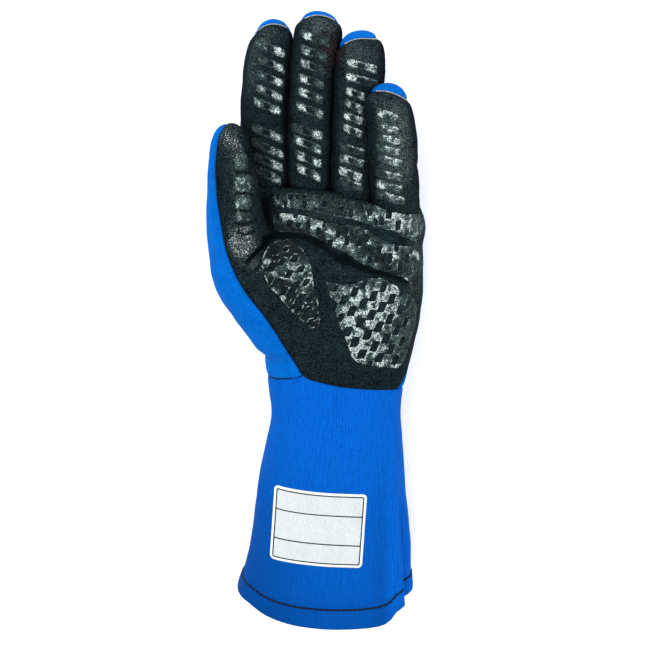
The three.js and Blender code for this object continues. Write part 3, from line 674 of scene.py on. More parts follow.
# above 0 on the black panels: inside the outline as seen, and above the level of the side seams
def blackField(p):
    nearest, _, up, fit = thumbPlace(p)
    onThumb = smoothStep(thumbFootSide(p), -seamLines["thumbBlend"], seamLines["thumbBlend"])
    onThumb *= 1 - smoothStep(fit, *seamLines["thumbFade"])
    rise = np.interp(p[:, 1], *zip(*seamLines["outerRise"]))
    level = np.where(p[:, 0] > seamLines["middleX"], rise, seamLines["outerLevel"])
    step = seamLines["thumbLevel"] - seamLines["outerLevel"]
    level += step * smoothStep(-p[:, 0], *seamLines["thumbLevelAcross"])
    web = smoothStep(p[:, 1], *seamLines["webAlong"])
    fromMiddle = np.abs(p[:, 0] - seamLines["middleX"])
    level -= seamLines["webDrop"] * web * smoothStep(fromMiddle, *seamLines["webEnds"])
    for x, y, drop in seamLines["webGaps"]:
        past = smoothStep(p[:, 1], y, y + seamLines["gapRise"])
        level -= drop * bell(p[:, 0], seamLines["gapReach"], x) * past
    above = (p[:, 2] - level) * (1 - onThumb) + (up - thumbSeam[nearest]) * onThumb
    return np.minimum(insideDistance(*seen(p), blackOutline), above)


def cutAtField(mesh, field, name):
    normals = pointNormals(mesh["points"], mesh["faces"])
    distance = field(mesh["points"])
    near = np.abs(distance) < handShell["nearCut"]
    value, direction = surfaceDistance(field, mesh["points"][near], normals[near])
    close = np.abs(value) < handShell["snapCut"]
    index = np.flatnonzero(near)[close]
    mesh["points"][index] -= direction[close] * value[close][:, None]
    distance[index] = 0
    mesh["data"][name] = distance
    return cutAlong(mesh, distance)


# how far the thumb's foot is drawn in, by height up the picture
outlineNudge = [(-24, 0), (-21, 0.2), (-15, 1.4), (-8.4, 3.6), (-2, 4.5), (4.6, 3.9), (11, 1.7), (17.5, 0.7),
                (26, 0)]

print("fusing the hand")
fusedPoints, fusedFaces = voxelFused(
    [bodyTube(), thumbTube()] + [fingerRoot(limbForms[name]) for name in fingerNames], handShell["voxel"])
fusedPoints = relax(fusedPoints, fusedFaces, handShell["relaxRounds"])
crotch = smoothStep(fusedPoints[:, 1], *handShell["crotchAlong"])
crotch = crotch * smoothStep(fusedPoints[:, 2], *handShell["crotchHeights"])
away = ovalDistance(fusedPoints[:, 0], fusedPoints[:, 1], *handShell["thumbCrotch"])
crotch = np.maximum(crotch, np.exp(-away))
fusedPoints = relax(fusedPoints, fusedFaces, handShell["crotchRounds"], 0.5 * crotch)
nudge = np.interp(seen(fusedPoints)[1], *zip(*outlineNudge))
fusedPoints[:, 0] += nudge * smoothStep(-fusedPoints[:, 0], *handShell["nudgeAcross"])
hand = {"points": fusedPoints, "faces": fusedFaces, "data": {}}
print("hand fused:", len(fusedFaces), "triangles")
for cutName, cutField in (("wrist", wristField), ("fingers", handField)):
    hand = cutAtField(hand, cutField, cutName)
    hand = part(hand, faceMean(hand, hand["data"][cutName]) > 0)
hand = cutAtField(hand, blackField, "black")
hand = cutAtField(hand, thumbFootField, "thumbFoot")
print("hand cut:", len(hand["faces"]), "triangles")


# seams pull the cloth in, folds crease it and it puffs up between them; creases are in plan and wrinkles as
# seen, each with its depth and width, and rough is the size and height of each soft swell
handRelief = {
    "seamDepth": 0.75,
    "seamWidth": 1.0,
    "puff": 0.35,
    "puffAt": 3.2,
    "puffWidth": 2.2,
    "footSeam": 0.8,
    "footPast": 0.5,
    "least": 0.05,
    "openEdge": 0.7,
    "edgeWidth": 1.3,
    "wrinkleLip": 0.3,
    "lipAt": 2.2,
    # wrinkleShade is painted shade along the wrinkles, in the suede's colour
    "wrinkleShade": 0.8,
    "reliefHeights": (18, 26),
    "creases": [
        (1.9, 1.9, [(-30.4, 50.2), (-22.4, 49.1), (-11.9, 48), (-1.3, 45.8), (6.6, 42), (14.5, 37.1),
                    (25.1, 32.7), (35.6, 29.4), (46.2, 26.7), (52, 25)]),
        (0.8, 1.5, [(-26.1, 64.9), (-8.2, 64.1), (10.3, 61.7)]),
        (1.3, 1.6, [(10.3, 61.7), (22.4, 57.3), (31.4, 52.9), (39.3, 50.2), (47.8, 48)]),
        (0.9, 2.4, [(-1.5, 38), (0.6, 26), (2.6, 14), (5, 4)]),
    ],
    "wrinkles": [
        (0.8, 0.7, [(-46, 80.8), (-42.5, 81.4), (-38.2, 80.2)]),
        (0.9, 0.7, [(-46.8, 69.6), (-42.5, 70.2), (-37.6, 69)]),
        (0.8, 0.7, [(-46.5, 60.6), (-42, 60), (-38.6, 60.8)]),
        (1.0, 0.8, [(-47, 53.6), (-43, 53), (-39, 53.8), (-36, 55.2)]),
        (0.6, 0.7, [(-45.4, 90.6), (-41.5, 91.2), (-39.4, 90)]),
        (0.9, 0.8, [(-45.5, 48.8), (-42, 47.4), (-37, 49)]),
        (0.6, 0.8, [(-33.5, 31.5), (-36.5, 27.5), (-41, 25.6)]),
        (0.7, 0.9, [(-4, 39.4), (0.4, 36.4), (1.6, 31)]),
        (0.6, 0.8, [(4.6, 37), (9, 34.2), (11.6, 29.6)]),
        (0.6, 0.8, [(-9.6, 34.6), (-4.6, 31.8), (-2.6, 27)]),
        (1.8, 0.65, [(-29.4, 45.6), (-32.4, 41.6), (-36.4, 37.2), (-40.8, 32.6)]),
    ],
    "rough": [(15, 0.55), (5.5, 0.16)],
}


noiseSeeds = {"hand": 1, "finger": 3, "nap": 12, "cuff": 20, "glow": 21, "broken": 23, "print": 27, "bar": 31,
              "barGlow": 33, "label": 40}


def softNoise(points, size, seed):
    shift = np.array([seed * 17.3, seed * 5.1, 3.7])
    return np.array([noise.noise(Vector(p)) for p in points / size + shift])


# soft noise round a mean: make holds the mean, the spread and the size of the swells
def mottled(points, make, seed):
    mean, spread, size = make
    return mean + spread * softNoise(points, size, seed)


def seamDent(distance):
    away = np.abs(distance)
    puff = handRelief["puff"] * bell(away, handRelief["puffWidth"], handRelief["puffAt"])
    return puff - handRelief["seamDepth"] * bell(away, handRelief["seamWidth"])


def creaseDent(points):
    dent = np.zeros(len(points))
    for depth, width, line in handRelief["creases"]:
        dent -= depth * bell(lineDistance(points[:, 0], points[:, 1], line), width)
    x, y = seen(points)
    for depth, width, line in handRelief["wrinkles"]:
        away = lineDistance(x, y, line)
        dent -= depth * bell(away, width)
        dent += handRelief["wrinkleLip"] * depth * bell(away, width, handRelief["lipAt"] * width)
    return dent * smoothStep(points[:, 2], *handRelief["reliefHeights"])


def softBumps(points, layers, seed):
    return sum(height * softNoise(points, size, seed + i) for i, (size, height) in enumerate(layers))


normals = pointNormals(hand["points"], hand["faces"])
moved = seamDent(hand["data"]["black"]) + creaseDent(hand["points"])
moved = moved + softBumps(hand["points"], handRelief["rough"], noiseSeeds["hand"])
footDent = np.minimum(seamDent(hand["data"]["thumbFoot"]), 0) * handRelief["footSeam"]
moved += np.where(hand["data"]["black"] > -handRelief["footPast"], footDent, 0)
for name in ("wrist", "fingers"):
    moved -= handRelief["openEdge"] * bell(hand["data"][name], handRelief["edgeWidth"])
hand["points"] = hand["points"] + normals * moved[:, None]
hand["points"][:, 2] = np.maximum(hand["points"][:, 2], handRelief["least"])
black = faceMean(hand, hand["data"]["black"]) > 0
foot = faceMean(hand, hand["data"]["thumbFoot"]) > 0
hand["data"]["rim"] = np.minimum(np.abs(hand["data"]["black"]), np.abs(hand["data"]["fingers"]))
palmMesh = part(hand, black & ~foot)
thumbFrontMesh = part(hand, black & foot)
backMesh = part(hand, ~black)
print("panels:", len(palmMesh["faces"]), len(thumbFrontMesh["faces"]), len(backMesh["faces"]))

# each finger is a tube of its own, whose foot is tucked under the hand
fingerMake = {
    "around": 96,
    "step": 1.0,
    "domeRings": 18,
    "tuck": 3.0,
    "snap": 0.03,
    "sink": 0.9,
    "sinkAlong": (0, 2.2),
    "leftDropAcross": (0, 0.6),
    "footDrop": 9,
    "footAlong": (14, 2),
    "outerFade": (0.4, 0.9),
    "footEdge": 0.6,
    "footWidth": 1.3,
    "jointDepth": 0.55,
    "jointWidth": 2.6,
    "jointHeights": (-2, 4),
    "joints": {"index": [109.5], "middle": [110.2], "ring": [102.3], "little": [86.4]},
}


def limbReach(limb, t):
    grid = np.linspace(0, 1, 400)
    steps = np.linalg.norm(np.diff(limbPoint(limb, grid), axis=0), axis=1)
    return np.interp(t, grid, np.concatenate([[0], np.cumsum(steps)]))


def reachAtY(limb, y):
    grid = np.linspace(0, 1, 400)
    return limbReach(limb, np.interp(y, limbPoint(limb, grid)[:, 1], grid))


# how far below the fingertip's blue cap a point is seen
def belowCap(limb, p):
    x, y = seen(p)
    (leftX, leftY), (midX, midY), (rightX, rightY) = limb["cap"]
    left = midY + (leftY - midY) * ((x - midX) / (leftX - midX)) ** 2
    right = midY + (rightY - midY) * ((x - midX) / (rightX - midX)) ** 2
    return np.where(x < midX, left, right) - y


def fingerMesh(name, seed):
    limb = limbForms[name]
    rings, place, tip = limbRings(limb, fingerMake["around"], fingerMake["step"], fingerMake["domeRings"])
    points, faces = closedTube(rings, tip)
    t, u, v = (np.concatenate([place[k].ravel(), [end, 0]]) for k, end in (("t", 1), ("u", 0), ("v", 0)))
    reach = limbReach(limb, t)
    share = u / (limbColumn(limb, "width", t) / 2)
    foot = points[:, 1] - fingerLine(points[:, 0], points[:, 2])
    level = limbColumn(limb, "seam", t) - limb["leftDrop"] * smoothStep(-share, *fingerMake["leftDropAcross"])
    outer = {"index": -share, "little": share}.get(name, 0 * share)
    inner = 1 - smoothStep(outer, *fingerMake["outerFade"])
    level -= fingerMake["footDrop"] * smoothStep(foot, *fingerMake["footAlong"]) * inner
    black = np.minimum(v - level, belowCap(limb, points))
    dent = seamDent(black) + softBumps(points, handRelief["rough"], seed)
    for y in fingerMake["joints"][name]:
        fold = bell(reach, fingerMake["jointWidth"], reachAtY(limb, y))
        dent -= fingerMake["jointDepth"] * fold * smoothStep(v, *fingerMake["jointHeights"])
    groove = fingerMake["footEdge"] * bell(foot, fingerMake["footWidth"])
    dent -= groove + fingerMake["sink"] * smoothStep(-foot, *fingerMake["sinkAlong"])
    points = points + pointNormals(points, faces) * dent[:, None]
    data = dict(t=t, u=u, v=v, black=np.where(np.abs(black) < fingerMake["snap"], 0, black), foot=foot,
                rim=np.minimum(np.abs(black), np.abs(foot)))
    mesh = {"points": points, "faces": faces, "data": data}
    mesh = cutAlong(mesh, foot + fingerMake["tuck"])
    mesh = part(mesh, faceMean(mesh, mesh["data"]["foot"]) > -fingerMake["tuck"])
    mesh = cutAlong(mesh, mesh["data"]["black"])
    front = faceMean(mesh, mesh["data"]["black"]) > 0
    return part(mesh, front), part(mesh, ~front)


fingerFronts, fingerBacks = {}, {}
for i, name in enumerate(fingerNames):
    fingerFronts[name], fingerBacks[name] = fingerMesh(name, noiseSeeds["finger"] + i)
    print("finger", name, len(fingerFronts[name]["faces"]), len(fingerBacks[name]["faces"]))

# the cuff: one tube, out of the wrist seam, down to the hem, round it and back up inside; sway is the size
# and height of each swell, and a ripple has its depth, its width and its line in plan
cuffMake = {
    "around": 380,
    "step": 1.45,
    "wall": 1.8,
    "hemWall": 2.8,
    "hemBand": 9.4,
    "hemPuff": 0.45,
    "hemSwell": (0.3, 2),
    "hemFold": (9, 11),
    "hemGroove": 0.5,
    "hemGrooveWidth": 0.8,
    "seamGroove": 0.7,
    "seamWidth": 1.3,
    "clothAround": 270.0,
    "edgeSteps": 7,
    "backSeamDegrees": 262,
    "evenAt": (-60.0, -150.0),
    "least": 0.02,
    "swayHeights": (0.5, 8),
    "sway": [(30, 0.9), (12, 0.35)],
    "ripples": [
        (0.8, 1.7, [(-36, -38), (-27, -41), (-18, -42.5)]),
        (0.6, 1.9, [(-35, -45), (-24, -47.5), (-12, -48.5)]),
        (0.4, 2.2, [(-36, -53), (-26, -54.5), (-17, -54)]),
        (0.5, 2.6, [(41, -45), (34, -52), (29, -64)]),
        (0.6, 4, [(-31, -76), (-25, -96), (-29, -120)]),
        (0.7, 3.5, [(34, -92), (31, -116), (33, -140)]),
    ],
}


def cuffAngles():
    fine = np.linspace(0, 2 * math.pi, 6000)
    spread = 0    # lengths along two slices, so that the points stand evenly round the cuff
    for y in cuffMake["evenAt"]:
        ring = bodySkin(np.full(len(fine), y), fine)
        lengths = np.linalg.norm(np.diff(ring, axis=0), axis=1)
        spread = spread + lengths / lengths.sum()
    reached = np.concatenate([[0], np.cumsum(spread)]) / 2
    start = np.interp(math.radians(cuffMake["backSeamDegrees"]), fine, reached)
    share = np.linspace(0, 1, cuffMake["around"] + 1)
    share[-1] = 0.9999    # the last stands beside the first, so the knit's rows can start anew there
    angles = np.interp((share + start) % 1, reached, fine)
    return angles, share


def cuffSway(points):
    sway = softBumps(points, cuffMake["sway"], noiseSeeds["cuff"])
    onTop = smoothStep(points[:, 2], *handRelief["reliefHeights"])
    for depth, width, line in cuffMake["ripples"]:
        sway -= depth * bell(lineDistance(points[:, 0], points[:, 1], line), width) * onTop
    return sway * smoothStep(points[:, 2], *cuffMake["swayHeights"])


# painted shade on the cuff: darker towards its hem, towards its inner side and beside the pleat, and painted
# light past the pleat, where it is paler
cuffTone = {"low": 0.42, "left": 0.24, "corner": 0.13, "hem": 0.15, "pleat": 0.1, "flap": -0.25,
            "downwards": (22, 155), "leftwards": (-5, 45), "hemward": (146, 158),
            "pleatX": 31, "pleatWidth": 4, "pleatDown": (60, 110), "flapAcross": (33, 38)}


def paintedCuffShade(points):
    x, y = seen(points)
    low, left = smoothStep(-y, *cuffTone["downwards"]), smoothStep(-x, *cuffTone["leftwards"])
    dark = cuffTone["low"] * low + cuffTone["left"] * left + cuffTone["corner"] * low * left
    dark = dark + cuffTone["hem"] * smoothStep(-y, *cuffTone["hemward"])
    pleat = bell(x, cuffTone["pleatWidth"], cuffTone["pleatX"]) * smoothStep(-y, *cuffTone["pleatDown"])
    flap = smoothStep(x, *cuffTone["flapAcross"])
    dark += cuffTone["pleat"] * pleat + cuffTone["flap"] * flap * low
    return np.clip(dark, 0, 1)


def cuffMesh():
    angles, share = cuffAngles()
    count = len(angles)
    top = np.full(count, -32.0)    # near the wrist seam, then found in a few rounds
    for _ in range(4):
        top = heightAlong(seamLines["wrist"], bodySkin(top, angles)[:, 0])
    bottom = float(hemCurve["sides"])
    rows = int((top.mean() - bottom) / cuffMake["step"])
    downs = np.linspace(0, 1, rows)
    radius = cuffMake["hemWall"] / 2
    turn = np.linspace(0, math.pi, cuffMake["edgeSteps"] + 2)
    # each level: share of the way down, how far below that, and how far outside the skin, None for the inside
    levels = [(f, 0.0, 0.0) for f in downs]
    levels += [(1.0, -radius * math.sin(a), -radius + radius * math.cos(a)) for a in turn[1:-1]]
    inside = [(f, 0.0, None) for f in downs[::-1]]
    points, along = [], []
    for f, below, out in levels + inside:
        y = top + (bottom + radius - top) * f + below
        above = y - bottom
        thinner = cuffMake["wall"] - cuffMake["hemWall"]
        wall = cuffMake["hemWall"] + thinner * smoothStep(above, *cuffMake["hemFold"])
        band = cuffMake["hemPuff"] * smoothStep(cuffMake["hemBand"] - above, *cuffMake["hemSwell"])
        band -= cuffMake["hemGroove"] * bell(above, cuffMake["hemGrooveWidth"], cuffMake["hemBand"])
        sway = cuffSway(bodySkin(y, angles))
        sway = sway - cuffMake["seamGroove"] * bell(y, cuffMake["seamWidth"], top)
        grow = sway - wall if out is None else sway + band + out
        points.append(bodySkin(y, angles, grow))
        along.append(top - y)
    grid = np.array(points)
    levelCount = len(grid)
    index = np.arange(levelCount * count).reshape(levelCount, count)
    nextRow = np.roll(index, -1, axis=0)
    right = np.roll(index, -1, axis=1)
    nextRight = np.roll(nextRow, -1, axis=1)
    faces = np.vstack([np.stack([index, nextRow, nextRight], -1).reshape(-1, 3),
                       np.stack([index, nextRight, right], -1).reshape(-1, 3)])
    points = grid.reshape(-1, 3)
    # the cuff's value for its material is its painted shade
    data = {"acrossCloth": np.tile(share * cuffMake["clothAround"], levelCount),
            "alongCloth": np.concatenate(along), "wearAndPaintedLight": paintedCuffShade(points)}
    points[:, 2] = np.maximum(points[:, 2], cuffMake["least"])
    return {"points": points, "faces": outward(points, faces), "data": data}


cuff = cuffMesh()
print("cuff:", len(cuff["faces"]), "triangles")


# node trees: settings are the node's own, inputs are values or other nodes' outputs
def addNode(tree, kind, inputs=None, **settings):
    node = tree.nodes.new(kind)
    for key, value in settings.items():
        setattr(node, key, value)
    for key, value in (inputs or {}).items():
        if isinstance(value, bpy.types.NodeSocket):
            tree.links.new(value, node.inputs[key])
        else:
            node.inputs[key].default_value = value
    return node


def maths(tree, operation, *values):
    return addNode(tree, "ShaderNodeMath", dict(enumerate(values)), operation=operation).outputs[0]


def ranged(tree, value, fromLow, fromHigh, low=0.0, high=1.0):
    inputs = {"Value": value, "From Min": fromLow, "From Max": fromHigh, "To Min": low, "To Max": high}
    return addNode(tree, "ShaderNodeMapRange", inputs, interpolation_type="SMOOTHSTEP").outputs[0]


def cloudy(tree, inputs, **settings):
    return addNode(tree, "ShaderNodeTexNoise", inputs, **settings).outputs["Fac"]


def blended(tree, amount, first, second):
    node = tree.nodes.new("ShaderNodeMix")
    node.data_type = "RGBA"
    for socket, value in ((node.inputs[0], amount), (node.inputs[6], first), (node.inputs[7], second)):
        if isinstance(value, bpy.types.NodeSocket):
            tree.links.new(value, socket)
        else:
            socket.default_value = value
    return node.outputs[2]


def newGroup(name, inputs, outputs):
    group = bpy.data.node_groups.new(name, "ShaderNodeTree")
    for label, kind, value in inputs:
        socket = group.interface.new_socket(label, in_out="INPUT", socket_type=kind)
        if value is not None:
            socket.default_value = value
    for label, kind in outputs:
        group.interface.new_socket(label, in_out="OUTPUT", socket_type=kind)
    return group, group.nodes.new("NodeGroupInput").outputs, group.nodes.new("NodeGroupOutput").inputs


number, vector = "NodeSocketFloat", "NodeSocketVector"


fibreMake = {"detail": 3.0, "roughness": 0.65, "coarse": 0.12, "coarseDetail": 2.0}
ribMake = {"lean": 0.9, "loops": 0.18, "streaks": 0.85, "streakDetail": 2.0}


# fine mottled fibres: Shade varies round 0.5, Height is for bump
def makeFibres():
    inputs = [("Position", vector, None), ("Scale", number, 900.0), ("Stretch", number, 1.0),
              ("Broad", number, 0.3)]
    group, given, made = newGroup("fibres", inputs, [("Shade", number), ("Height", number)])
    squash = addNode(group, "ShaderNodeCombineXYZ", {0: 1.0, 1: given["Stretch"], 2: 1.0}).outputs[0]
    stretched = {0: given["Position"], 1: squash}
    place = addNode(group, "ShaderNodeVectorMath", stretched, operation="MULTIPLY").outputs[0]
    small = cloudy(group, {"Vector": place, "Scale": given["Scale"], "Detail": fibreMake["detail"],
                           "Roughness": fibreMake["roughness"]})
    coarse = maths(group, "MULTIPLY", given["Scale"], fibreMake["coarse"])
    broad = cloudy(group, {"Vector": place, "Scale": coarse, "Detail": fibreMake["coarseDetail"]})
    patches = maths(group, "SUBTRACT", broad, 0.5)
    group.links.new(maths(group, "MULTIPLY_ADD", patches, given["Broad"], small), made["Shade"])
    group.links.new(small, made["Height"])
    return group


# knitted ribs: Across and Along are millimetres over the cloth; Height has the loops along each rib, and
# Streak varies slowly from rib to rib
def makeRibs():
    inputs = [("Across", number, 0.0), ("Along", number, 0.0), ("Pitch", number, 1.1),
              ("Course", number, 0.9)]
    group, given, made = newGroup("knitRibs", inputs, [("Height", number), ("Streak", number)])
    turns = maths(group, "DIVIDE", given["Across"], given["Pitch"])
    rib = maths(group, "ABSOLUTE", maths(group, "SINE", maths(group, "MULTIPLY", turns, math.pi)))
    rounds = maths(group, "DIVIDE", given["Along"], given["Course"])
    middle = maths(group, "ABSOLUTE", maths(group, "SUBTRACT", maths(group, "FRACT", turns), 0.5))
    lean = maths(group, "MULTIPLY", middle, ribMake["lean"])
    loop = maths(group, "SINE", maths(group, "MULTIPLY", maths(group, "ADD", rounds, lean), 2 * math.pi))
    group.links.new(maths(group, "MULTIPLY_ADD", loop, ribMake["loops"], rib), made["Height"])
    slow = maths(group, "MULTIPLY", given["Across"], ribMake["streaks"])
    slowly = {"W": slow, "Scale": 1.0, "Detail": ribMake["streakDetail"]}
    group.links.new(cloudy(group, slowly, noise_dimensions="1D"), made["Streak"])
    return group


fibres, knitRibs = makeFibres(), makeRibs()


def usingGroup(tree, group, inputs):
    return addNode(tree, "ShaderNodeGroup", inputs, node_tree=group).outputs


def fibresOf(tree, place, scale, stretch=1.0, broad=0.3):
    return usingGroup(tree, fibres, {"Position": place, "Scale": scale, "Stretch": stretch, "Broad": broad})


# a screen colour's three levels of 0 to 255, as the shaders take it
def colour(*levels):
    return tuple(((c / 255 + 0.055) / 1.055) ** 2.4 if c > 10 else c / 255 / 12.92 for c in levels) + (1.0,)


def newMaterial(name, sockets):
    material = bpy.data.materials.new(name)
    material.use_nodes = True
    tree = material.node_tree
    tree.nodes.clear()
    shader = addNode(tree, "ShaderNodeBsdfPrincipled", sockets)
    addNode(tree, "ShaderNodeOutputMaterial", {"Surface": shader.outputs[0]})
    place = addNode(tree, "ShaderNodeTexCoord").outputs["Object"]
    return material, tree, shader, place


def attribute(tree, name):
    return addNode(tree, "ShaderNodeAttribute", attribute_name=name).outputs["Fac"]


def bumped(tree, shader, height, distance):
    bump = addNode(tree, "ShaderNodeBump", {"Height": height, "Distance": distance})
    tree.links.new(bump.outputs[0], shader.inputs["Normal"])


# in each finish: grains are fibres (scale, stretch, broadness), limits are a range and what it becomes, and
# bump is a depth in metres
suedeFinish = {
    "deep": colour(0, 3, 5), "nap": colour(37, 53, 57), "worn": colour(112, 128, 130),
    "dust": colour(212, 220, 220), "warm": colour(62, 48, 49),
    "grain": (1650.0, 1.0, 0.12), "dustGrain": (1480.0, 1.0, 0.2), "napLimits": (0.4, 0.64),
    "lift": (-0.95, 1.5), "threshold": (-0.13, 0.63), "dustGain": 10.0, "dustLimits": (0.0, 0.6, 0.12, 1.0),
    "darkLimits": (-0.9, 0.1, 0.25, 1.0), "rimLimits": (0.0, 1.3, 0.35, 1.0), "bump": 0.00035,
}


def makeSuede():
    material, tree, shader, place = newMaterial("blackSuede", {"Roughness": 0.92, "Specular IOR Level": 0.03})
    grain = fibresOf(tree, place, *suedeFinish["grain"])
    pale = fibresOf(tree, place, *suedeFinish["dustGrain"])["Shade"]
    # the wear value holds worn places, which are paler and partly painted highlight, and painted shade below
    # 0
    wearAndPaintedLight = attribute(tree, "wearAndPaintedLight")
    napped = blended(tree, attribute(tree, "warmth"), suedeFinish["nap"], suedeFinish["warm"])
    speckled = attribute(tree, "specks")
    raised = maths(tree, "MULTIPLY_ADD", speckled, *suedeFinish["lift"])    # with less dust, a paler nap
    raised = maths(tree, "MULTIPLY", ranged(tree, wearAndPaintedLight, 0.0, 1.0), raised)
    lifted = blended(tree, raised, napped, suedeFinish["worn"])
    shade = ranged(tree, grain["Shade"], *suedeFinish["napLimits"])
    shade = blended(tree, shade, suedeFinish["deep"], lifted)
    threshold = maths(tree, "MULTIPLY_ADD", wearAndPaintedLight, *suedeFinish["threshold"])
    rubbed = maths(tree, "MULTIPLY", maths(tree, "SUBTRACT", pale, threshold), suedeFinish["dustGain"])
    dusty = ranged(tree, wearAndPaintedLight, *suedeFinish["dustLimits"])
    amount = maths(tree, "MULTIPLY", ranged(tree, rubbed, 0.0, 1.0), dusty)
    worn = blended(tree, maths(tree, "MULTIPLY", amount, speckled), shade, suedeFinish["dust"])
    # painted shade: where the wear value is low and near seams, the suede darkens to its deep colour
    rim = ranged(tree, attribute(tree, "rim"), *suedeFinish["rimLimits"])
    dark = maths(tree, "MULTIPLY", ranged(tree, wearAndPaintedLight, *suedeFinish["darkLimits"]), rim)
    tree.links.new(blended(tree, dark, suedeFinish["deep"], worn), shader.inputs["Base Color"])
    bumped(tree, shader, grain["Height"], suedeFinish["bump"])
    return material


# seam is the colour of painted shade along the shell's seams and open edges
shellFinish = {
    "deep": colour(0, 84, 170), "bright": colour(0, 109, 205), "seam": colour(0, 52, 118),
    "grain": (1500.0, 0.6, 0.3), "clothLimits": (0.3, 0.75), "rimLimits": (0.0, 0.9, 0.5, 1.0),
    "bump": 0.00022,
}


def makeShell():
    material, tree, shader, place = newMaterial("blueShell", {"Roughness": 0.8, "Specular IOR Level": 0.03})
    grain = fibresOf(tree, place, *shellFinish["grain"])
    shade = ranged(tree, grain["Shade"], *shellFinish["clothLimits"])
    shade = blended(tree, shade, shellFinish["deep"], shellFinish["bright"])
    # painted shade: near seams and open edges the shell darkens towards the seam colour
    edge = ranged(tree, attribute(tree, "rim"), *shellFinish["rimLimits"])
    tree.links.new(blended(tree, edge, shellFinish["seam"], shade), shader.inputs["Base Color"])
    bumped(tree, shader, grain["Height"], shellFinish["bump"])
    return material


# yarn and fleck are fibres too, and the four shares are what each adds to the shade; the ribs' share is
# painted shade between the ribs
knitFinish = {
    "deep": colour(0, 70, 156), "bright": colour(4, 103, 211), "shadow": colour(0, 62, 132),
    "pitch": 1.15, "course": 0.95, "yarn": (1300.0, 0.07, 0.06), "fleck": (1700.0, 0.8, 0.1),
    "yarnShare": 0.55, "ribShare": 0.34, "fleckShare": 0.9, "streakShare": 0.3, "base": -0.55,
    "limits": (0.2, 0.8), "bump": 0.00016,
}


def makeKnit():
    material, tree, shader, place = newMaterial("blueKnit", {"Roughness": 0.84, "Specular IOR Level": 0.03})
    ribs = usingGroup(tree, knitRibs, {
        "Across": attribute(tree, "acrossCloth"), "Along": attribute(tree, "alongCloth"),
        "Pitch": knitFinish["pitch"], "Course": knitFinish["course"]})
    yarn = fibresOf(tree, place, *knitFinish["yarn"])["Shade"]
    fleck = fibresOf(tree, place, *knitFinish["fleck"])["Shade"]
    mixed = knitFinish["base"]
    for output, share in ((yarn, "yarnShare"), (ribs["Height"], "ribShare"), (fleck, "fleckShare"),
                          (ribs["Streak"], "streakShare")):
        mixed = maths(tree, "MULTIPLY_ADD", output, knitFinish[share], mixed)
    shade = ranged(tree, mixed, *knitFinish["limits"])
    shade = blended(tree, shade, knitFinish["deep"], knitFinish["bright"])
    # painted shade: the knit darkens towards the shadow colour where the cuff's painted shade is
    shade = blended(tree, ranged(tree, attribute(tree, "wearAndPaintedLight"), 0.0, 1.0), shade, knitFinish["shadow"])
    tree.links.new(shade, shader.inputs["Base Color"])
    bumped(tree, shader, ribs["Height"], knitFinish["bump"])
    return material


# the film's shine is painted highlight: its level, varied by fine grain and by patches, and a broken painted
# light edge
siliconeFinish = {
    "film": colour(9, 15, 17), "grey": colour(66, 86, 87), "paintedGlint": colour(214, 228, 224),
    "grain": (1650.0, 1.0, 0.1), "patches": (620.0, 1.0, 0.2),
    "grainShare": 1.9, "patchShare": (0.45, -1.175), "vary": (3.0, 0.6),
    "level": 0.86, "edgeLimits": (0.4, 0.05), "brokenLimits": (0.48, 0.6, 0.0, 0.34),
    "greyLimits": (-0.1, 0.5), "sparkLimits": (0.45, 1.1), "roughLimits": (0.0, 1.0, 0.75, 0.5),
    "bump": 0.00025,
}


def makeSilicone():
    material, tree, shader, place = newMaterial("silicone", {"Specular IOR Level": 0.12})
    fine = fibresOf(tree, place, *siliconeFinish["grain"])
    ragged = fibresOf(tree, place, *siliconeFinish["patches"])["Shade"]
    # this value is the film's painted highlight level
    level = attribute(tree, "wearAndPaintedLight")
    mixed = maths(tree, "MULTIPLY_ADD", ragged, *siliconeFinish["patchShare"])
    mixed = maths(tree, "MULTIPLY_ADD", fine["Shade"], siliconeFinish["grainShare"], mixed)
    varied = maths(tree, "MULTIPLY", mixed, maths(tree, "MULTIPLY_ADD", level, *siliconeFinish["vary"]))
    # painted highlight: a broken light edge along the film's rim, then shine from dark film through grey to
    # the glint colour
    edge = ranged(tree, attribute(tree, "rim"), *siliconeFinish["edgeLimits"])
    edge = maths(tree, "MULTIPLY", edge, ranged(tree, ragged, *siliconeFinish["brokenLimits"]))
    shine = maths(tree, "ADD", edge, maths(tree, "MULTIPLY_ADD", level, siliconeFinish["level"], varied))
    grey = ranged(tree, shine, *siliconeFinish["greyLimits"])
    grey = blended(tree, grey, siliconeFinish["film"], siliconeFinish["grey"])
    paintedGlint = ranged(tree, shine, *siliconeFinish["sparkLimits"])
    tree.links.new(blended(tree, paintedGlint, grey, siliconeFinish["paintedGlint"]), shader.inputs["Base Color"])
    tree.links.new(ranged(tree, shine, *siliconeFinish["roughLimits"]), shader.inputs["Roughness"])
    bumped(tree, shader, fine["Height"], siliconeFinish["bump"])
    return material


labelFinish = {"border": colour(232, 234, 235), "low": colour(192, 199, 202), "high": colour(208, 213, 215),
               "grain": (1500.0, 0.3, 0.3), "clothLimits": (0.3, 0.7), "edge": (-0.1, 0.2), "bump": 0.0001}
labelMake = {"width": 50.4, "height": 40.7, "corner": 2.5, "x": -2.3, "y": -109.5, "turn": -3.9, "step": 0.5,
             "lift": 0.45, "thick": 0.4, "inset": 1.75, "line": 0.72, "rules": [0.31, 0.70], "pucker": 0.1,
             "puckerSize": 6.0, "puckerFade": 4, "edgeDrop": 0.25, "edgeFade": 0.8, "relaxRounds": 6,
             "margin": 1, "snap": 0.02, "inkSnap": 0.01}


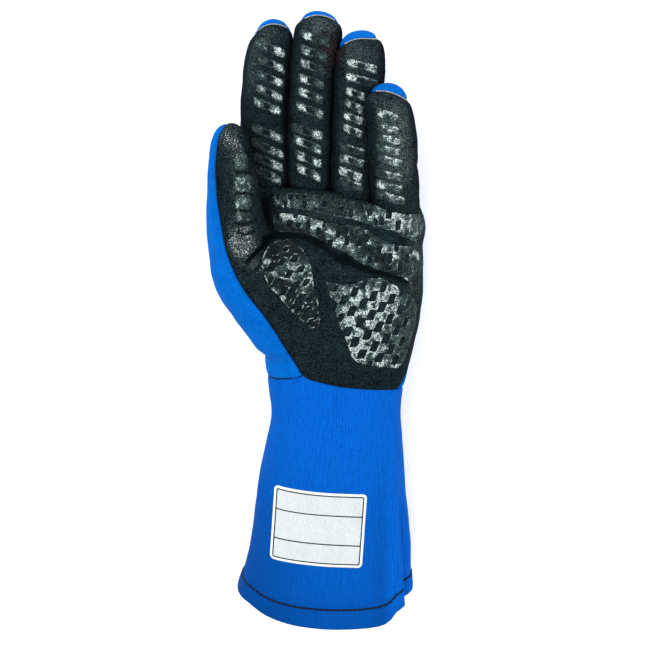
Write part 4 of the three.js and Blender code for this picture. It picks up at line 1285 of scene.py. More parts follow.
def makeLabelCloth():
    material, tree, shader, place = newMaterial("labelCloth", {"Roughness": 0.6, "Specular IOR Level": 0.2})
    grain = fibresOf(tree, place, *labelFinish["grain"])
    field = ranged(tree, grain["Shade"], *labelFinish["clothLimits"])
    field = blended(tree, field, labelFinish["low"], labelFinish["high"])
    inside = ranged(tree, attribute(tree, "rim"), *(labelMake["inset"] + off for off in labelFinish["edge"]))
    tree.links.new(blended(tree, inside, labelFinish["border"], field), shader.inputs["Base Color"])
    bumped(tree, shader, grain["Height"], labelFinish["bump"])
    return material


threadFinish = {"limits": (0.3, 0.7), "bump": 0.0002}


# plain dyed thread, ink and raw cloth edges: two tones mottled by fibres
def makeThread(name, dark, light, grainScale, rough):
    material, tree, shader, place = newMaterial(name, {"Roughness": rough, "Specular IOR Level": 0.2})
    grain = fibresOf(tree, place, grainScale)
    shade = blended(tree, ranged(tree, grain["Shade"], *threadFinish["limits"]), dark, light)
    tree.links.new(shade, shader.inputs["Base Color"])
    bumped(tree, shader, grain["Height"], threadFinish["bump"])
    return material


blackSuede, blueShell, blueKnit = makeSuede(), makeShell(), makeKnit()
silicone, labelCloth = makeSilicone(), makeLabelCloth()
labelInk = makeThread("labelInk", colour(30, 40, 42), colour(52, 62, 64), 1400.0, 0.7)
blackThread = makeThread("blackThread", colour(3, 6, 12), colour(16, 20, 28), 2200.0, 0.75)
rawEdge = makeThread("rawEdge", colour(120, 122, 116), colour(205, 206, 196), 1700.0, 0.85)
print("materials made")

# worn places of the suede as seen, paler and partly painted highlight, and darker places of painted shade: x,
# y, reach across, reach up, and how much paler or darker
suedeWearAndShadePatches = {
    "palm": [(-35.9, 30.5, 4.9, 5.9, 0.4), (48.3, 54.3, 7.6, 8.6, 0.45), (50.5, 32.7, 4.3, 16.2, 0.35),
        (44.6, 12.2, 7.6, 21.6, 0.12), (12.2, 58.6, 32.4, 3.8, 0.2), (-12.2, 39.2, 7.6, 4.3, 0.1),
        (4.1, 32.7, 8.6, 7.6, 0.2), (4.1, -41.9, 48.6, 27, -0.24), (33.8, 66.2, 16.2, 4.3, 0.15),
        (-21.3, 49.4, 11.9, 3.2, -0.7), (-2.4, 44.6, 7.6, 3.8, -0.6), (12.2, 34.8, 8.6, 3.8, -0.6),
        (27.8, 28.4, 9.7, 2.7, -0.5), (-32.7, 52.7, 4.3, 11.9, -0.8), (-29.4, 63.5, 3.8, 9.7, -0.6),
        (4.1, 74.8, 32.4, 3.2, -0.35), (-0.3, 12.2, 6.5, 21.6, -0.25), (39.2, 64, 14, 2.2, -0.3)],
    "index": [(-27.3, 157.4, 10.8, 5.9, 0.12), (-32.7, 150.9, 3.8, 2.7, 0.4),
        (-39.2, 141.8, 4.9, 19.4, 0.21), (-32.7, 136.4, 10.8, 32.4, 0.09), (-32.7, 93.2, 14, 27, -0.13),
        (-41.3, 87.8, 6.5, 27, -0.72)],
    "middle": [(-2.4, 160, 13, 6.6, 0.32), (-7.8, 109.4, 7.6, 4.9, 0.08), (-6.8, 125.6, 7.6, 37.8, 0.06),
        (4.1, 141.8, 4.3, 16.2, 0.09)],
    "ring": [(19.2, 147.2, 14, 11.9, 0.24), (13.8, 114.8, 8.6, 32.4, 0.11), (19.2, 109.4, 5.4, 8.6, 0.05),
        (12.7, 82.4, 7.6, 16.2, 0.14)],
    "little": [(37.5, 115.8, 14, 11.9, 0.14), (36.5, 93.2, 13, 24.8, 0.36), (44.6, 87.8, 6.5, 32.4, 0.14)],
    "thumb": [(-50, 98.6, 6.4, 10.7, 0.45), (-42.9, 74.8, 5.9, 18.4, 0.46), (-38, 93, 4, 10, -0.7),
        (-43.5, 43.5, 7.6, 10.8, 0.77), (-40.8, 29.4, 4.3, 4.3, 0.12)],
}
# painted shade along creases as seen, with their widths, and warm places as the worn ones are
paintedCreaseShade = [
    (1.3, [(-31.1, 45.6), (-27.3, 46.7), (-18.6, 47), (-12.2, 46.4), (-4.1, 44), (4.1, 38.1), (12.2, 32.7),
           (19.2, 30.2), (25.7, 28.1), (33.8, 25.9), (40.8, 24), (45.1, 21.9)]),
    (0.75, [(-29.4, 45.6), (-32.4, 41.6), (-36.5, 37.3), (-40.8, 32.7)]),
    (0.8, [(-29.4, 44.6), (-30.5, 39.2), (-32.1, 33.8)]),
]
warmPatches = [(5.5, 147.5, 6.5, 10, 1), (-32.5, 150.5, 4, 3, 0.5), (49.5, 28, 3, 7, 0.6)]
# painted shade: each finger's two sides are darker; dust is how much of it shows on the thumb and elsewhere
suedeShade = {"right": 0.85, "rightEdge": (0.6, 0.97), "left": 0.6, "leftEdge": (0.72, 1.0),
              "thumbAcross": 0.9, "nap": 0.12, "napSize": 9.0, "patchFall": 1.4, "thumbDust": 1.0,
              "dust": 0.28}


def patched(points, patches):
    x, y = seen(points)
    level = np.zeros(len(points))
    for *place, high in patches:
        level += high * np.exp(-ovalDistance(x, y, *place) ** suedeShade["patchFall"])
    return level


# how worn the suede is, with painted shade: below 0 it is darker than the plain nap, shaded in creases,
# wrinkles and on each finger's sides; share is how far across its finger it lies
def suedeWearAndShade(points, name, share):
    level = patched(points, suedeWearAndShadePatches[name])
    x, y = seen(points)
    for width, line in paintedCreaseShade:
        level -= bell(lineDistance(x, y, line), width)
    for depth, width, line in handRelief["wrinkles"]:
        level -= handRelief["wrinkleShade"] * depth * bell(lineDistance(x, y, line), width)
    right = suedeShade["right"] * smoothStep(share, *suedeShade["rightEdge"])
    level -= right + suedeShade["left"] * smoothStep(-share, *suedeShade["leftEdge"])
    nap = softNoise(points, suedeShade["napSize"], noiseSeeds["nap"])
    return np.clip(level + suedeShade["nap"] * nap, -1, 1)


# silicone prints: outlines and holes (x, y, width, height) as seen from the photograph's viewpoint; glow is
# the film's painted highlight, as patches (x, y, reach across, reach up, level)
gripPrints = {
    "upper": {
        "lean": 0.5, "dim": 0.05, "edge": 0.1, "node": "upper_band_grip",
        "outline": [(-26.2, 69.9), (-19.7, 70.5), (-12.2, 69.7), (-4.1, 68.9), (1.4, 68.9), (12.2, 66.2),
            (23, 63.7), (30, 62.9), (33.8, 62.6), (39.2, 61), (44.6, 59.7), (50, 58.9), (54.8, 58.1),
            (54.3, 52.1), (52.1, 45.6), (50, 44), (46.2, 45.6), (42.9, 46.7), (39.7, 48.3), (37, 50),
            (32.7, 50.5), (27.8, 51.6), (23.5, 53.2), (19.2, 55.1), (14.9, 55.9), (9.5, 57.2), (4.1, 58.3),
            (-0.3, 59.1), (-5.1, 60.2), (-10.5, 61), (-17.6, 61.8), (-25.7, 62.9)],
        "holes": [(-24.3, 68.3, 1.9, 3.8), (-20, 63.7, 1.9, 2.7), (-17.3, 67.8, 2.7, 2.7),
            (-13.8, 67.8, 1.6, 2.7), (-10, 68, 2.2, 2.2), (-9.7, 63.7, 2.2, 3.8), (-4.3, 60.8, 2.2, 2.2),
            (0.8, 64, 2.7, 3.2), (5.7, 66.7, 2.2, 2.2), (10.5, 61.3, 2.2, 3.2), (15.4, 59.1, 2.7, 4.3),
            (20.5, 62.4, 2.2, 2.7), (25.7, 59.7, 2.7, 3.8), (28.9, 54.3, 1.6, 3.2), (31.9, 54.5, 2.7, 3.8),
            (35.9, 58.6, 3, 4.9), (40.8, 52.7, 2.7, 5.1), (45.6, 57.5, 2.4, 4.3), (45.6, 48.9, 2.2, 3.2),
            (49.7, 52.1, 1.9, 4.3)],
        "glow": [(40.2, 55.9, 6.5, 7.6, 0.85), (-20.8, 64.5, 5.4, 3.2, 0.3), (-15.9, 63.5, 6.5, 2.7, 0.3),
            (-5.1, 64, 4.3, 3.8, 0.3), (20.2, 57.5, 7.6, 3.8, 0.35), (28.4, 59.1, 4.3, 4.3, 0.4),
            (49.4, 51, 4.3, 6.5, 0.35)],
    },
    "lower": {
        "lean": 0.5, "dim": -0.07, "edge": 0.14, "node": "lower_band_grip",
        "outline": [(-27.3, 59.1), (-20.2, 59.1), (-13.8, 58.3), (-6.8, 56.7), (0.3, 54.5), (6.8, 53.2),
            (13.2, 52.7), (19.2, 51.8), (24.6, 49.7), (29.4, 46.2), (35.4, 42.9), (40.8, 41.3), (46.2, 41),
            (49.4, 40.5), (51.8, 37), (52.7, 32.7), (52.7, 25.1), (51.6, 20.8), (50, 18.9), (47.8, 20.8),
            (45.1, 23.2), (40.8, 25.4), (36.5, 27), (29.4, 28.4), (23.5, 31.1), (19.2, 33.2), (15.9, 35.6),
            (9.5, 39.4), (5.1, 40.8), (-0.3, 44.3), (-5.1, 46.7), (-10, 48.6), (-17.6, 48.9),
            (-25.7, 49.1)],
        "holes": [(-24.3, 57, 2.2, 4.9), (-17.6, 53.7, 3.2, 3.2), (-13.2, 52.7, 2.7, 2.7),
            (-14.3, 57.5, 2.2, 2.2), (-7.6, 53.2, 2.4, 4.9), (-2.2, 49.4, 2.7, 3.8), (1.1, 53.2, 1.6, 4.3),
            (8.4, 48.9, 2.4, 5.4), (4.1, 43.2, 2.7, 3.2), (12.7, 49.4, 2.7, 3.8), (13.2, 44.3, 2.4, 4.9),
            (20.2, 43.5, 2.7, 4.3), (23.8, 45.6, 2.2, 4.3), (25.7, 39.7, 3, 3.8), (25.7, 34, 2.7, 3.8),
            (30.5, 39.2, 2.7, 3.8), (33.5, 35.4, 1.9, 4.3), (36.2, 34.8, 2.7, 5.4), (35.4, 29.4, 3.2, 2.4),
            (40, 40.2, 2.4, 3.8), (45.6, 34.8, 2.2, 4.9), (41.9, 30.5, 2.4, 4.9), (48.1, 39.2, 1.6, 4.3),
            (49.7, 28.9, 1.5, 5.9), (18.6, 48.9, 1.6, 2.7)],
        "glow": [(-19.7, 57, 4.9, 3.2, 0.85), (-11.1, 55.4, 3.2, 3.8, 0.6), (-3.5, 52.1, 4.3, 4.3, 0.7),
            (4.1, 47.8, 3.2, 4.3, 0.7), (9.5, 42.9, 5.4, 4.3, 0.75), (15.9, 39.2, 4.9, 3.8, 0.5),
            (20.8, 50, 4.3, 3.2, 0.45), (26.7, 43.5, 3.2, 2.7, 0.5), (21.9, 34.3, 3.8, 2.7, 0.55),
            (34.3, 39.7, 4.3, 3.2, 0.7), (38.6, 34.8, 3.2, 5.4, 0.7), (28.9, 30.5, 2.7, 2.2, 0.4),
            (44.6, 24.6, 4.3, 2.2, 0.5), (44, 39.2, 5.4, 3.2, 0.3), (48.3, 32.7, 4.3, 6.5, 0.3),
            (51.6, 36.5, 2.2, 3.2, 0.5)],
    },
    "thenar": {
        "lean": 2.9, "dim": -0.04, "edge": 0.5, "node": "thenar_grip",
        "outline": [(-30, 40.2), (-27.3, 42.9), (-23.5, 44.3), (-18.6, 44.6), (-14.3, 42.9), (-10.5, 39.2),
            (-7.8, 34.8), (-6.2, 29.4), (-5.1, 23), (-4.6, 18.1), (-3, 13.8), (-2.2, 9.5), (-2.4, 6.2),
            (-1.4, 1.9), (-2.2, -2.4), (-6.2, -3), (-10.5, 0.3), (-14.3, 4.1), (-17.6, 7), (-21.3, 11.1),
            (-24, 15.1), (-28.4, 18.6), (-30.2, 22.4), (-32.4, 26.7), (-32.9, 31.1), (-32.1, 35.9)],
        "holes": [(-25.1, 37.8, 3, 2.4), (-21.9, 32.7, 3.2, 4.1), (-27.5, 30, 4.3, 5.1),
            (-14.9, 34.6, 3.8, 4.1), (-18.1, 26.2, 3.5, 4.3), (-11.6, 28.9, 3.5, 3.5),
            (-19.7, 39.7, 2.7, 2.7), (-25.4, 21.6, 3, 4.9), (-15.4, 18.9, 3.8, 5.9), (-8.9, 21.6, 3.2, 4.1),
            (-20.8, 17, 2.7, 4.6), (-18.1, 13.5, 3, 4.3), (-12.2, 12.4, 4.1, 5.9), (-6.2, 13.5, 3.2, 4.9),
            (-13.2, 7, 3, 4.3), (-15.9, 8.4, 2.2, 3.2), (-8.4, 5.4, 3.2, 5.9), (-3.5, 3, 1.9, 3.2),
            (-6.8, 0.3, 2.4, 3.2), (-31.1, 28.4, 1.9, 2.7)],
        "glow": [(-30, 32.7, 2.2, 1.6, 1.1), (-26.2, 27.3, 3.8, 3.2, 0.55), (-17.6, 30, 6.5, 3.8, 0.55),
            (-8.9, 25.7, 4.3, 6.5, 0.5), (-9.5, 18.1, 3.2, 3.2, 0.5), (-16.5, 24, 2.7, 2.7, 0.5),
            (-24.6, 17, 2.2, 1.6, 0.4), (-21.3, 13.2, 1.6, 1.6, 0.5)],
    },
    "hypothenar": {
        "lean": 1.8, "dim": 0.1, "edge": 0.14, "node": "hypothenar_grip",
        "outline": [(1.9, 21.9), (12.2, 20), (18.1, 21.1), (21.3, 22.4), (26.7, 24), (32.7, 24),
            (36.5, 21.3), (40.2, 19.7), (41.6, 16.7), (45.6, 15.7), (48.9, 13.2), (51, 8.4), (50, 0.3),
            (48.3, -7.3), (45.9, -14.9), (43.5, -21.3), (40.2, -24.6), (31.1, -24), (23.5, -23),
            (18.6, -21.3), (15.9, -18.6), (14.3, -14.3), (12.7, -9.5), (11.1, -5.1), (8.9, -0.3),
            (6.8, 6.8), (8.9, 10.5), (4.6, 13.2)],
        "holes": [(7, 18.4, 2.2, 3.2), (11.6, 12.2, 3.8, 4.9), (17.3, 16.5, 3.5, 4.9),
            (22.4, 20.5, 2.7, 4.6), (9.7, 2.7, 3.2, 4.3), (15.9, 6.2, 3.8, 5.1), (22.1, 10.3, 3.8, 5.4),
            (27.5, 14.3, 3.5, 5.4), (32.9, 19.2, 3.2, 5.4), (13.5, -4.9, 4.1, 4.9), (20.5, 0, 4.1, 5.1),
            (26.5, 4.1, 3.8, 5.4), (32.1, 8.4, 3.8, 5.4), (37.3, 12.7, 3.5, 5.4), (42.4, 15.4, 2.2, 3.2),
            (17.6, -10.5, 4.1, 5.1), (24.3, -6.5, 4.1, 5.4), (30.5, -2.4, 3.9, 5.4), (36.2, 1.9, 3.4, 5.4),
            (41.9, 7, 2.9, 5.1), (46.2, 10.5, 2.3, 5.1), (21.3, -17, 4.1, 4.9), (28.1, -12.7, 3.9, 5.4),
            (34.3, -8.6, 3.8, 5.4), (40, -4.1, 3, 5.4), (44.8, 0.3, 2.4, 4.9), (25.7, -22.1, 2.7, 2.7),
            (30.8, -18.9, 3.8, 4.9), (37, -14.3, 3.2, 5.1), (42.9, -10.3, 2.5, 4.9), (39.2, -20.2, 3, 5.1)],
        "glow": [(21.3, 2.4, 11.9, 16.2, 0.8), (33.8, 10.5, 7.6, 8.6, 0.7), (38.1, 18.6, 4.9, 3.8, 0.7),
            (14.9, -13.8, 4.3, 7.6, 0.5), (25.7, -14.9, 10.8, 6.5, 0.5), (5.7, 14.3, 4.3, 3.2, 0.35),
            (12.2, 19.2, 4.3, 2.7, 0.15), (21.9, 17, 4.3, 2.7, 0.3), (28.4, 20.8, 4.9, 2.7, 0.2),
            (39.2, -6.8, 7.6, 10.8, 0.12), (19.2, -20.8, 5.4, 2.2, 0.3), (32.7, -22.4, 5.4, 2.2, 0.4),
            (40.2, -23.5, 4.3, 1.6, 0.4)],
    },
}
# dim, broken, brokenEdge, glow, least and most shape the films' painted highlight
gripFilm = {"gap": 0.1, "thick": 0.3, "softEdge": (-0.1, 0.7), "under": 0.5, "corner": 0.7, "holeGrow": 1.06,
            "narrow": 0.4, "leanOver": 5, "dim": 0.02, "ragged": 0.3, "raggedSize": 1.5,
            "broken": (0.7, 2.4, 1.9), "brokenMost": 1.6, "brokenEdge": (0.75, 0.3), "glow": (0.86, 1.3, 2.7),
            "least": -0.05, "most": 0.78, "snap": 0.04, "keep": 1.5, "margin": 2, "above": 13}


# distance to the edge of a rounded box, more than 0 inside
def roundedBox(a, b, width, height, corner):
    qa, qb = np.abs(a) - width / 2 + corner, np.abs(b) - height / 2 + corner
    return -(np.minimum(np.maximum(qa, qb), 0) + np.hypot(np.maximum(qa, 0), np.maximum(qb, 0)) - corner)


def printField(x, y, form):
    field = insideDistance(x, y, form["outline"])
    for holeX, holeY, width, height in form["holes"]:
        across = x - holeX - form["lean"] * (y - holeY) / gripFilm["leanOver"]
        wide, high = gripFilm["holeGrow"] * width, gripFilm["holeGrow"] * height
        corner = min(gripFilm["corner"], gripFilm["narrow"] * width)
        field = np.minimum(field, -roundedBox(across, y - holeY, wide, high, corner))
    return field


# a mesh's points and triangles, with its normals as the only values
def withNormals(mesh):
    n = pointNormals(mesh["points"], mesh["faces"])
    data = {"normal" + axis: n[:, k] for k, axis in enumerate("xyz")}
    return {"points": mesh["points"], "faces": mesh["faces"], "data": data}


def normalsOf(mesh):
    return unit(np.stack([mesh["data"]["normal" + axis] for axis in "xyz"], -1))


# the part of a mesh where the field is above 0, cut along its edge
def plateFrom(mesh, field):
    mesh["data"]["film"] = np.where(np.abs(field) < gripFilm["snap"], 0, field)
    mesh = part(mesh, mesh["data"]["film"][mesh["faces"]].max(1) > -gripFilm["keep"])
    mesh = cutAlong(mesh, mesh["data"]["film"])
    return part(mesh, faceMean(mesh, mesh["data"]["film"]) > 0)


# bright is the film's painted highlight level, which the silicone material reads
def filmPiece(name, mesh, bright, nodes):
    inside = np.maximum(mesh["data"]["film"], 0)
    lift = gripFilm["gap"] + gripFilm["thick"] * smoothStep(inside, *gripFilm["softEdge"])
    out = {"points": mesh["points"] + normalsOf(mesh) * lift[:, None], "faces": mesh["faces"],
           "data": {"rim": inside, "wearAndPaintedLight": bright}}
    return makePiece(name, out, [silicone], nodes, gripFilm["under"])


palmTop = withNormals(palmMesh)
for name, form in gripPrints.items():
    corners = np.array(form["outline"])
    low, high = corners.min(0) - gripFilm["margin"], corners.max(0) + gripFilm["margin"]
    x, y = seen(palmTop["points"])
    near = (x > low[0]) & (x < high[0]) & (y > low[1]) & (y < high[1])
    near &= palmTop["points"][:, 2] > gripFilm["above"]
    region = finer(part(palmTop, near[palmTop["faces"]].all(1)))
    ragged = softNoise(region["points"], gripFilm["raggedSize"], noiseSeeds["print"])
    plate = plateFrom(region, printField(*seen(region["points"]), form) + gripFilm["ragged"] * ragged)
    # painted highlight: the print's shine patches and a broken light edge along its rim, mottled
    level = patched(plate["points"], form["glow"]) + form["dim"]
    broken = mottled(plate["points"], gripFilm["broken"], noiseSeeds["broken"])
    edge = form["edge"] * smoothStep(plate["data"]["film"], *gripFilm["brokenEdge"])
    level += edge * np.clip(broken, 0, gripFilm["brokenMost"])
    level = level * mottled(plate["points"], gripFilm["glow"], noiseSeeds["glow"])
    filmPiece(name + "Print", plate, np.clip(level, gripFilm["least"], gripFilm["most"]), [form["node"]])
    print("print", name, len(plate["faces"]))

# silicone bars across the fingers and the thumb, as seen: left end, right end, height, painted highlight of
# the two pads
barRows = {
    "index": [(-35.4, 150.9, -20.2, 145, 4.9, 0.26, 0.85), (-34.8, 142.8, -20.5, 136.6, 4.9, 0.24, 0.8),
        (-35.4, 134.7, -21.1, 128.8, 4.9, 0.28, 0.8), (-35.9, 126.9, -21.6, 120.7, 4.9, 0.55, 0.75),
        (-37, 119.6, -22.1, 113.7, 5.1, 0.7, 0.75), (-38.1, 105.6, -21.3, 98.8, 4.9, 0.2, 0.6),
        (-38.1, 98, -20.8, 89.9, 4.6, 0.05, 0.75), (-37, 89.9, -21.3, 83.4, 4.9, 0.05, 0.65),
        (-35.9, 82.9, -22.4, 76.4, 5.1, 0.05, 0.7)],
    "middle": [(-11.6, 155.8, 4.1, 150.9, 5.1, 0.85, 0.26), (-12.2, 148.2, 3, 142.8, 5.1, 0.75, 0.26),
        (-12.2, 140.7, 1.9, 135.3, 4.9, 0.75, 0.25), (-13.2, 132.6, 1.1, 127.7, 4.9, 0.75, 0.35),
        (-13.2, 125, 0.5, 120.2, 4.9, 0.75, 0.4), (-14.3, 117.5, 0.8, 111.8, 5.1, 0.75, 0.5),
        (-17, 105.6, 0.3, 100.4, 4.9, 0.2, 0.8), (-15.9, 99.6, 0, 92.6, 5.1, 0.75, 0.7),
        (-14.9, 91, -0.3, 85.3, 4.9, 0.8, 0.75), (-14.3, 84, -0.8, 78, 5.1, 0.8, 0.8)],
    "ring": [(13, 140.7, 29.4, 136.4, 4.9, 0.8, 0.7), (12.7, 133.1, 29.4, 128.8, 4.9, 0.8, 0.1),
        (12.7, 125.6, 23, 121.5, 4.9, 0.7, 0.55), (11.9, 119.1, 22.1, 114.5, 4.9, 0.5, 0.6),
        (11.6, 112.1, 22.1, 108.3, 4.6, 0.85, 0.6), (11.1, 105.6, 22.1, 101.2, 4.6, 0.7, 0.6),
        (9.5, 95.3, 23, 91.5, 4.3, 0.1, 0.1), (9.2, 89.4, 22.7, 85.3, 4.9, 0.75, 0.3),
        (8.9, 82.4, 21.6, 77.8, 5.1, 0.8, 0.8), (9.5, 76.4, 21.9, 72.6, 4.6, 0.15, 0.3)],
    "little": [(29.4, 114.2, 40.8, 109.9, 4.9, 0.65, 0.5), (30.5, 106.9, 41, 103.1, 4.6, 0.3, 0.6),
        (29.4, 100.4, 41.9, 97.2, 4.3, 0.15, 0.7), (28.9, 94.8, 42.4, 91.5, 4.3, 0.15, 0.6),
        (30, 89.1, 43.2, 85.3, 4.9, 0.25, 0.62), (28.6, 81, 43.2, 77.8, 4.6, 0.1, 0.42),
        (28.6, 75.3, 43.5, 71.3, 4.9, 0.7, 0.25), (28.9, 69.9, 44.3, 65.3, 4.9, 0.15, 0.5)],
    "thumb": [(-47.6, 87.5, -40.2, 87.1, 9.6, 0.3, 0.2), (-47.4, 75, -38.4, 74.8, 8.8, 0.5, 0.36),
        (-47.2, 64.8, -38.8, 64.8, 7.8, 0.52, 0.34), (-46.9, 57.4, -41.4, 57.2, 5.9, 0.5, 0.12)],
}
# between, lip and mottle shape the pads' painted highlights: dimmer between the pads, with a painted light
# line near the upper edge of the ring and little bars
barForm = {"corner": 1.2, "window": 0.22, "windowOff": 0.03, "windowHeight": 0.5, "windowCorner": 0.6,
           "slope": (-0.2, 1.2), "ragged": 0.5, "thumbRagged": 1.5, "raggedSize": 1.7, "padHigh": 0.43,
           "between": 0.3,
           "lip": 0.5, "lipUp": 0.36, "lipWidth": 0.5, "lipAcross": (0.2, 0.45), "mottle": (1, 1.1, 2.3),
           "fade": (-0.9, 0.6), "facing": 0.15, "most": 0.9}
# where the two pads' painted highlights lie along a bar, and how far they reach, as shares of its length
barPads = {"index": (0.2, 0.2, 0.77, 0.22), "middle": (0.25, 0.19, 0.82, 0.15),
           "ring": (0.2, 0.22, 0.79, 0.2), "little": (0.2, 0.17, 0.68, 0.33),
           "thumb": (0.25, 0.27, 0.7, 0.25)}


def barField(name, points):
    x, y = seen(points)
    best, level = np.full(len(x), -1e9), np.zeros(len(x))
    for leftX, leftY, rightX, rightY, height, left, right in barRows[name]:
        share = (x - leftX) / (rightX - leftX)
        width, across = rightX - leftX, x - (leftX + rightX) / 2
        up = y - leftY - (rightY - leftY) * np.clip(share, *barForm["slope"])
        field = roundedBox(across, up, width, height, barForm["corner"])
        if name not in ("thumb", "little"):
            wide, high = barForm["window"] * width, barForm["windowHeight"] * height
            windowAcross = across + barForm["windowOff"] * width
            field = np.minimum(field, -roundedBox(windowAcross, up, wide, high, barForm["windowCorner"]))
        leftAt, leftReach, rightAt, rightReach = barPads[name]
        shine = left * np.exp(-np.abs((share - leftAt) / leftReach) ** 3)
        shine = shine + right * np.exp(-np.abs((share - rightAt) / rightReach) ** 3)
        middle = np.exp(-np.abs(up / (barForm["padHigh"] * height)) ** 3)
        shine = shine * (barForm["between"] + (1 - barForm["between"]) * middle)
        if name in ("ring", "little"):
            lip = barForm["lip"] * bell(up, barForm["lipWidth"], barForm["lipUp"] * height)
            shine = shine + lip * smoothStep(share, *barForm["lipAcross"])
        level = np.where(field > best, shine, level)
        best = np.maximum(best, field)
    return best, np.clip(level + gripFilm["dim"], 0, barForm["most"])


for name, mesh in (*fingerFronts.items(), ("thumb", thumbFrontMesh)):
    face = withNormals(mesh)
    face = finer(part(face, faceMean(face, face["data"]["normalz"]) > barForm["facing"]))
    field, level = barField(name, face["points"])
    ragged = softNoise(face["points"], barForm["raggedSize"], noiseSeeds["bar"])
    field = field + barForm["thumbRagged" if name == "thumb" else "ragged"] * ragged
    mottle = mottled(face["points"], barForm["mottle"], noiseSeeds["barGlow"])
    # painted highlight on the bars' pads, mottled and faded towards their edges
    face["data"]["level"] = level * mottle * smoothStep(field, *barForm["fade"])
    plate = plateFrom(face, field)
    nodes = [f"{name}_grip_{i + 1}" for i in range(len(barRows[name]))]
    filmPiece(name + "Bars", plate, plate["data"]["level"], nodes)
    print("bars", name, len(plate["faces"]))

cloth = handShell["cloth"]
palmMesh["data"]["wearAndPaintedLight"] = suedeWearAndShade(palmMesh["points"], "palm", np.zeros(len(palmMesh["points"])))
thumbAcross = suedeShade["thumbAcross"] * thumbShare(thumbFrontMesh["points"])
thumbFrontMesh["data"]["wearAndPaintedLight"] = suedeWearAndShade(thumbFrontMesh["points"], "thumb", thumbAcross)
for name, mesh in fingerFronts.items():
    half = limbColumn(limbForms[name], "width", mesh["data"]["t"]) / 2
    mesh["data"]["wearAndPaintedLight"] = suedeWearAndShade(mesh["points"], name, mesh["data"]["u"] / half)
for mesh in [palmMesh, thumbFrontMesh] + list(fingerFronts.values()):
    mesh["data"]["warmth"] = np.clip(patched(mesh["points"], warmPatches), 0, 1)
    dust = suedeShade["thumbDust" if mesh is thumbFrontMesh else "dust"]
    mesh["data"]["specks"] = np.full(len(mesh["points"]), dust)
makePiece("palmPanel", palmMesh, [blackSuede], ["palm_panel"], cloth)
makePiece("thumbFront", thumbFrontMesh, [blackSuede], ["thumb_front"], cloth)
for name in fingerNames:
    makePiece(name + "Front", fingerFronts[name], [blackSuede], [name + "_front"], cloth)
    makePiece(name + "Back", fingerBacks[name], [blueShell], ["back_panel"], cloth)
makePiece("handBack", backMesh, [blueShell], ["back_panel"], cloth)
makePiece("cuffTube", cuff, [blueKnit], ["cuff"])

cuffFinder = BVHTree.FromPolygons([Vector(p) for p in cuff["points"]], cuff["faces"].tolist())


# the cuff's upper skin straight below each point in plan, and its normals
def onCuff(spots):
    hits = [cuffFinder.ray_cast(Vector((x, y, 200)), Vector((0, 0, -1)))[:2] for x, y in spots]
    return np.array([hit for hit, _ in hits]), unit(np.array([normal for _, normal in hits]))


# the sewn label, laid on the cuff, with a frame line and two rules in grey
def labelMesh():
    m = labelMake
    margin = m["margin"]
    across, up = (np.linspace(-size / 2 - margin, size / 2 + margin, int((size + 2 * margin) / m["step"]) + 1)
                  for size in (m["width"], m["height"]))
    a, b = (g.ravel() for g in np.meshgrid(across, up))
    turn = math.radians(m["turn"])
    x, y = m["x"] + a * math.cos(turn) - b * math.sin(turn), m["y"] + a * math.sin(turn) + b * math.cos(turn)
    points, outwards = onCuff(zip(x, y))
    i = np.arange(len(a)).reshape(len(up), len(across))
    q = [i[:-1, :-1].ravel(), i[:-1, 1:].ravel(), i[1:, 1:].ravel(), i[1:, :-1].ravel()]
    faces = np.vstack([np.stack([q[0], q[1], q[2]], -1), np.stack([q[0], q[2], q[3]], -1)])
    points = relax(points, faces, m["relaxRounds"])
    edge = roundedBox(a, b, m["width"], m["height"], m["corner"])
    frameLine = np.abs(edge - m["inset"])
    for share in m["rules"]:
        rule = np.abs(b - (0.5 - share) * m["height"])
        frameLine = np.minimum(frameLine, np.where(edge > m["inset"], rule, np.inf))
    pucker = m["pucker"] * softNoise(points, m["puckerSize"], noiseSeeds["label"])
    pucker = pucker * smoothStep(edge, m["puckerFade"], 0)
    lift = m["lift"] + pucker - m["edgeDrop"] * smoothStep(edge, m["edgeFade"], 0)
    points = points + outwards * lift[:, None]
    mesh = {"points": points, "faces": faces, "data": {"rim": edge, "ink": m["line"] / 2 - frameLine}}
    mesh = cutAlong(mesh, np.where(np.abs(edge) < m["snap"], 0, edge))
    mesh = part(mesh, faceMean(mesh, mesh["data"]["rim"]) > 0)
    ink = mesh["data"]["ink"]
    return cutAlong(mesh, np.where(np.abs(ink) < m["inkSnap"], 0, ink))


label = labelMesh()
inkFaces = (faceMean(label, label["data"]["ink"]) > 0).astype(int)
makePiece("labelPatch", label, [labelCloth, labelInk], ["label"], labelMake["thick"], inkFaces)
print("label:", len(label["faces"]), "triangles")


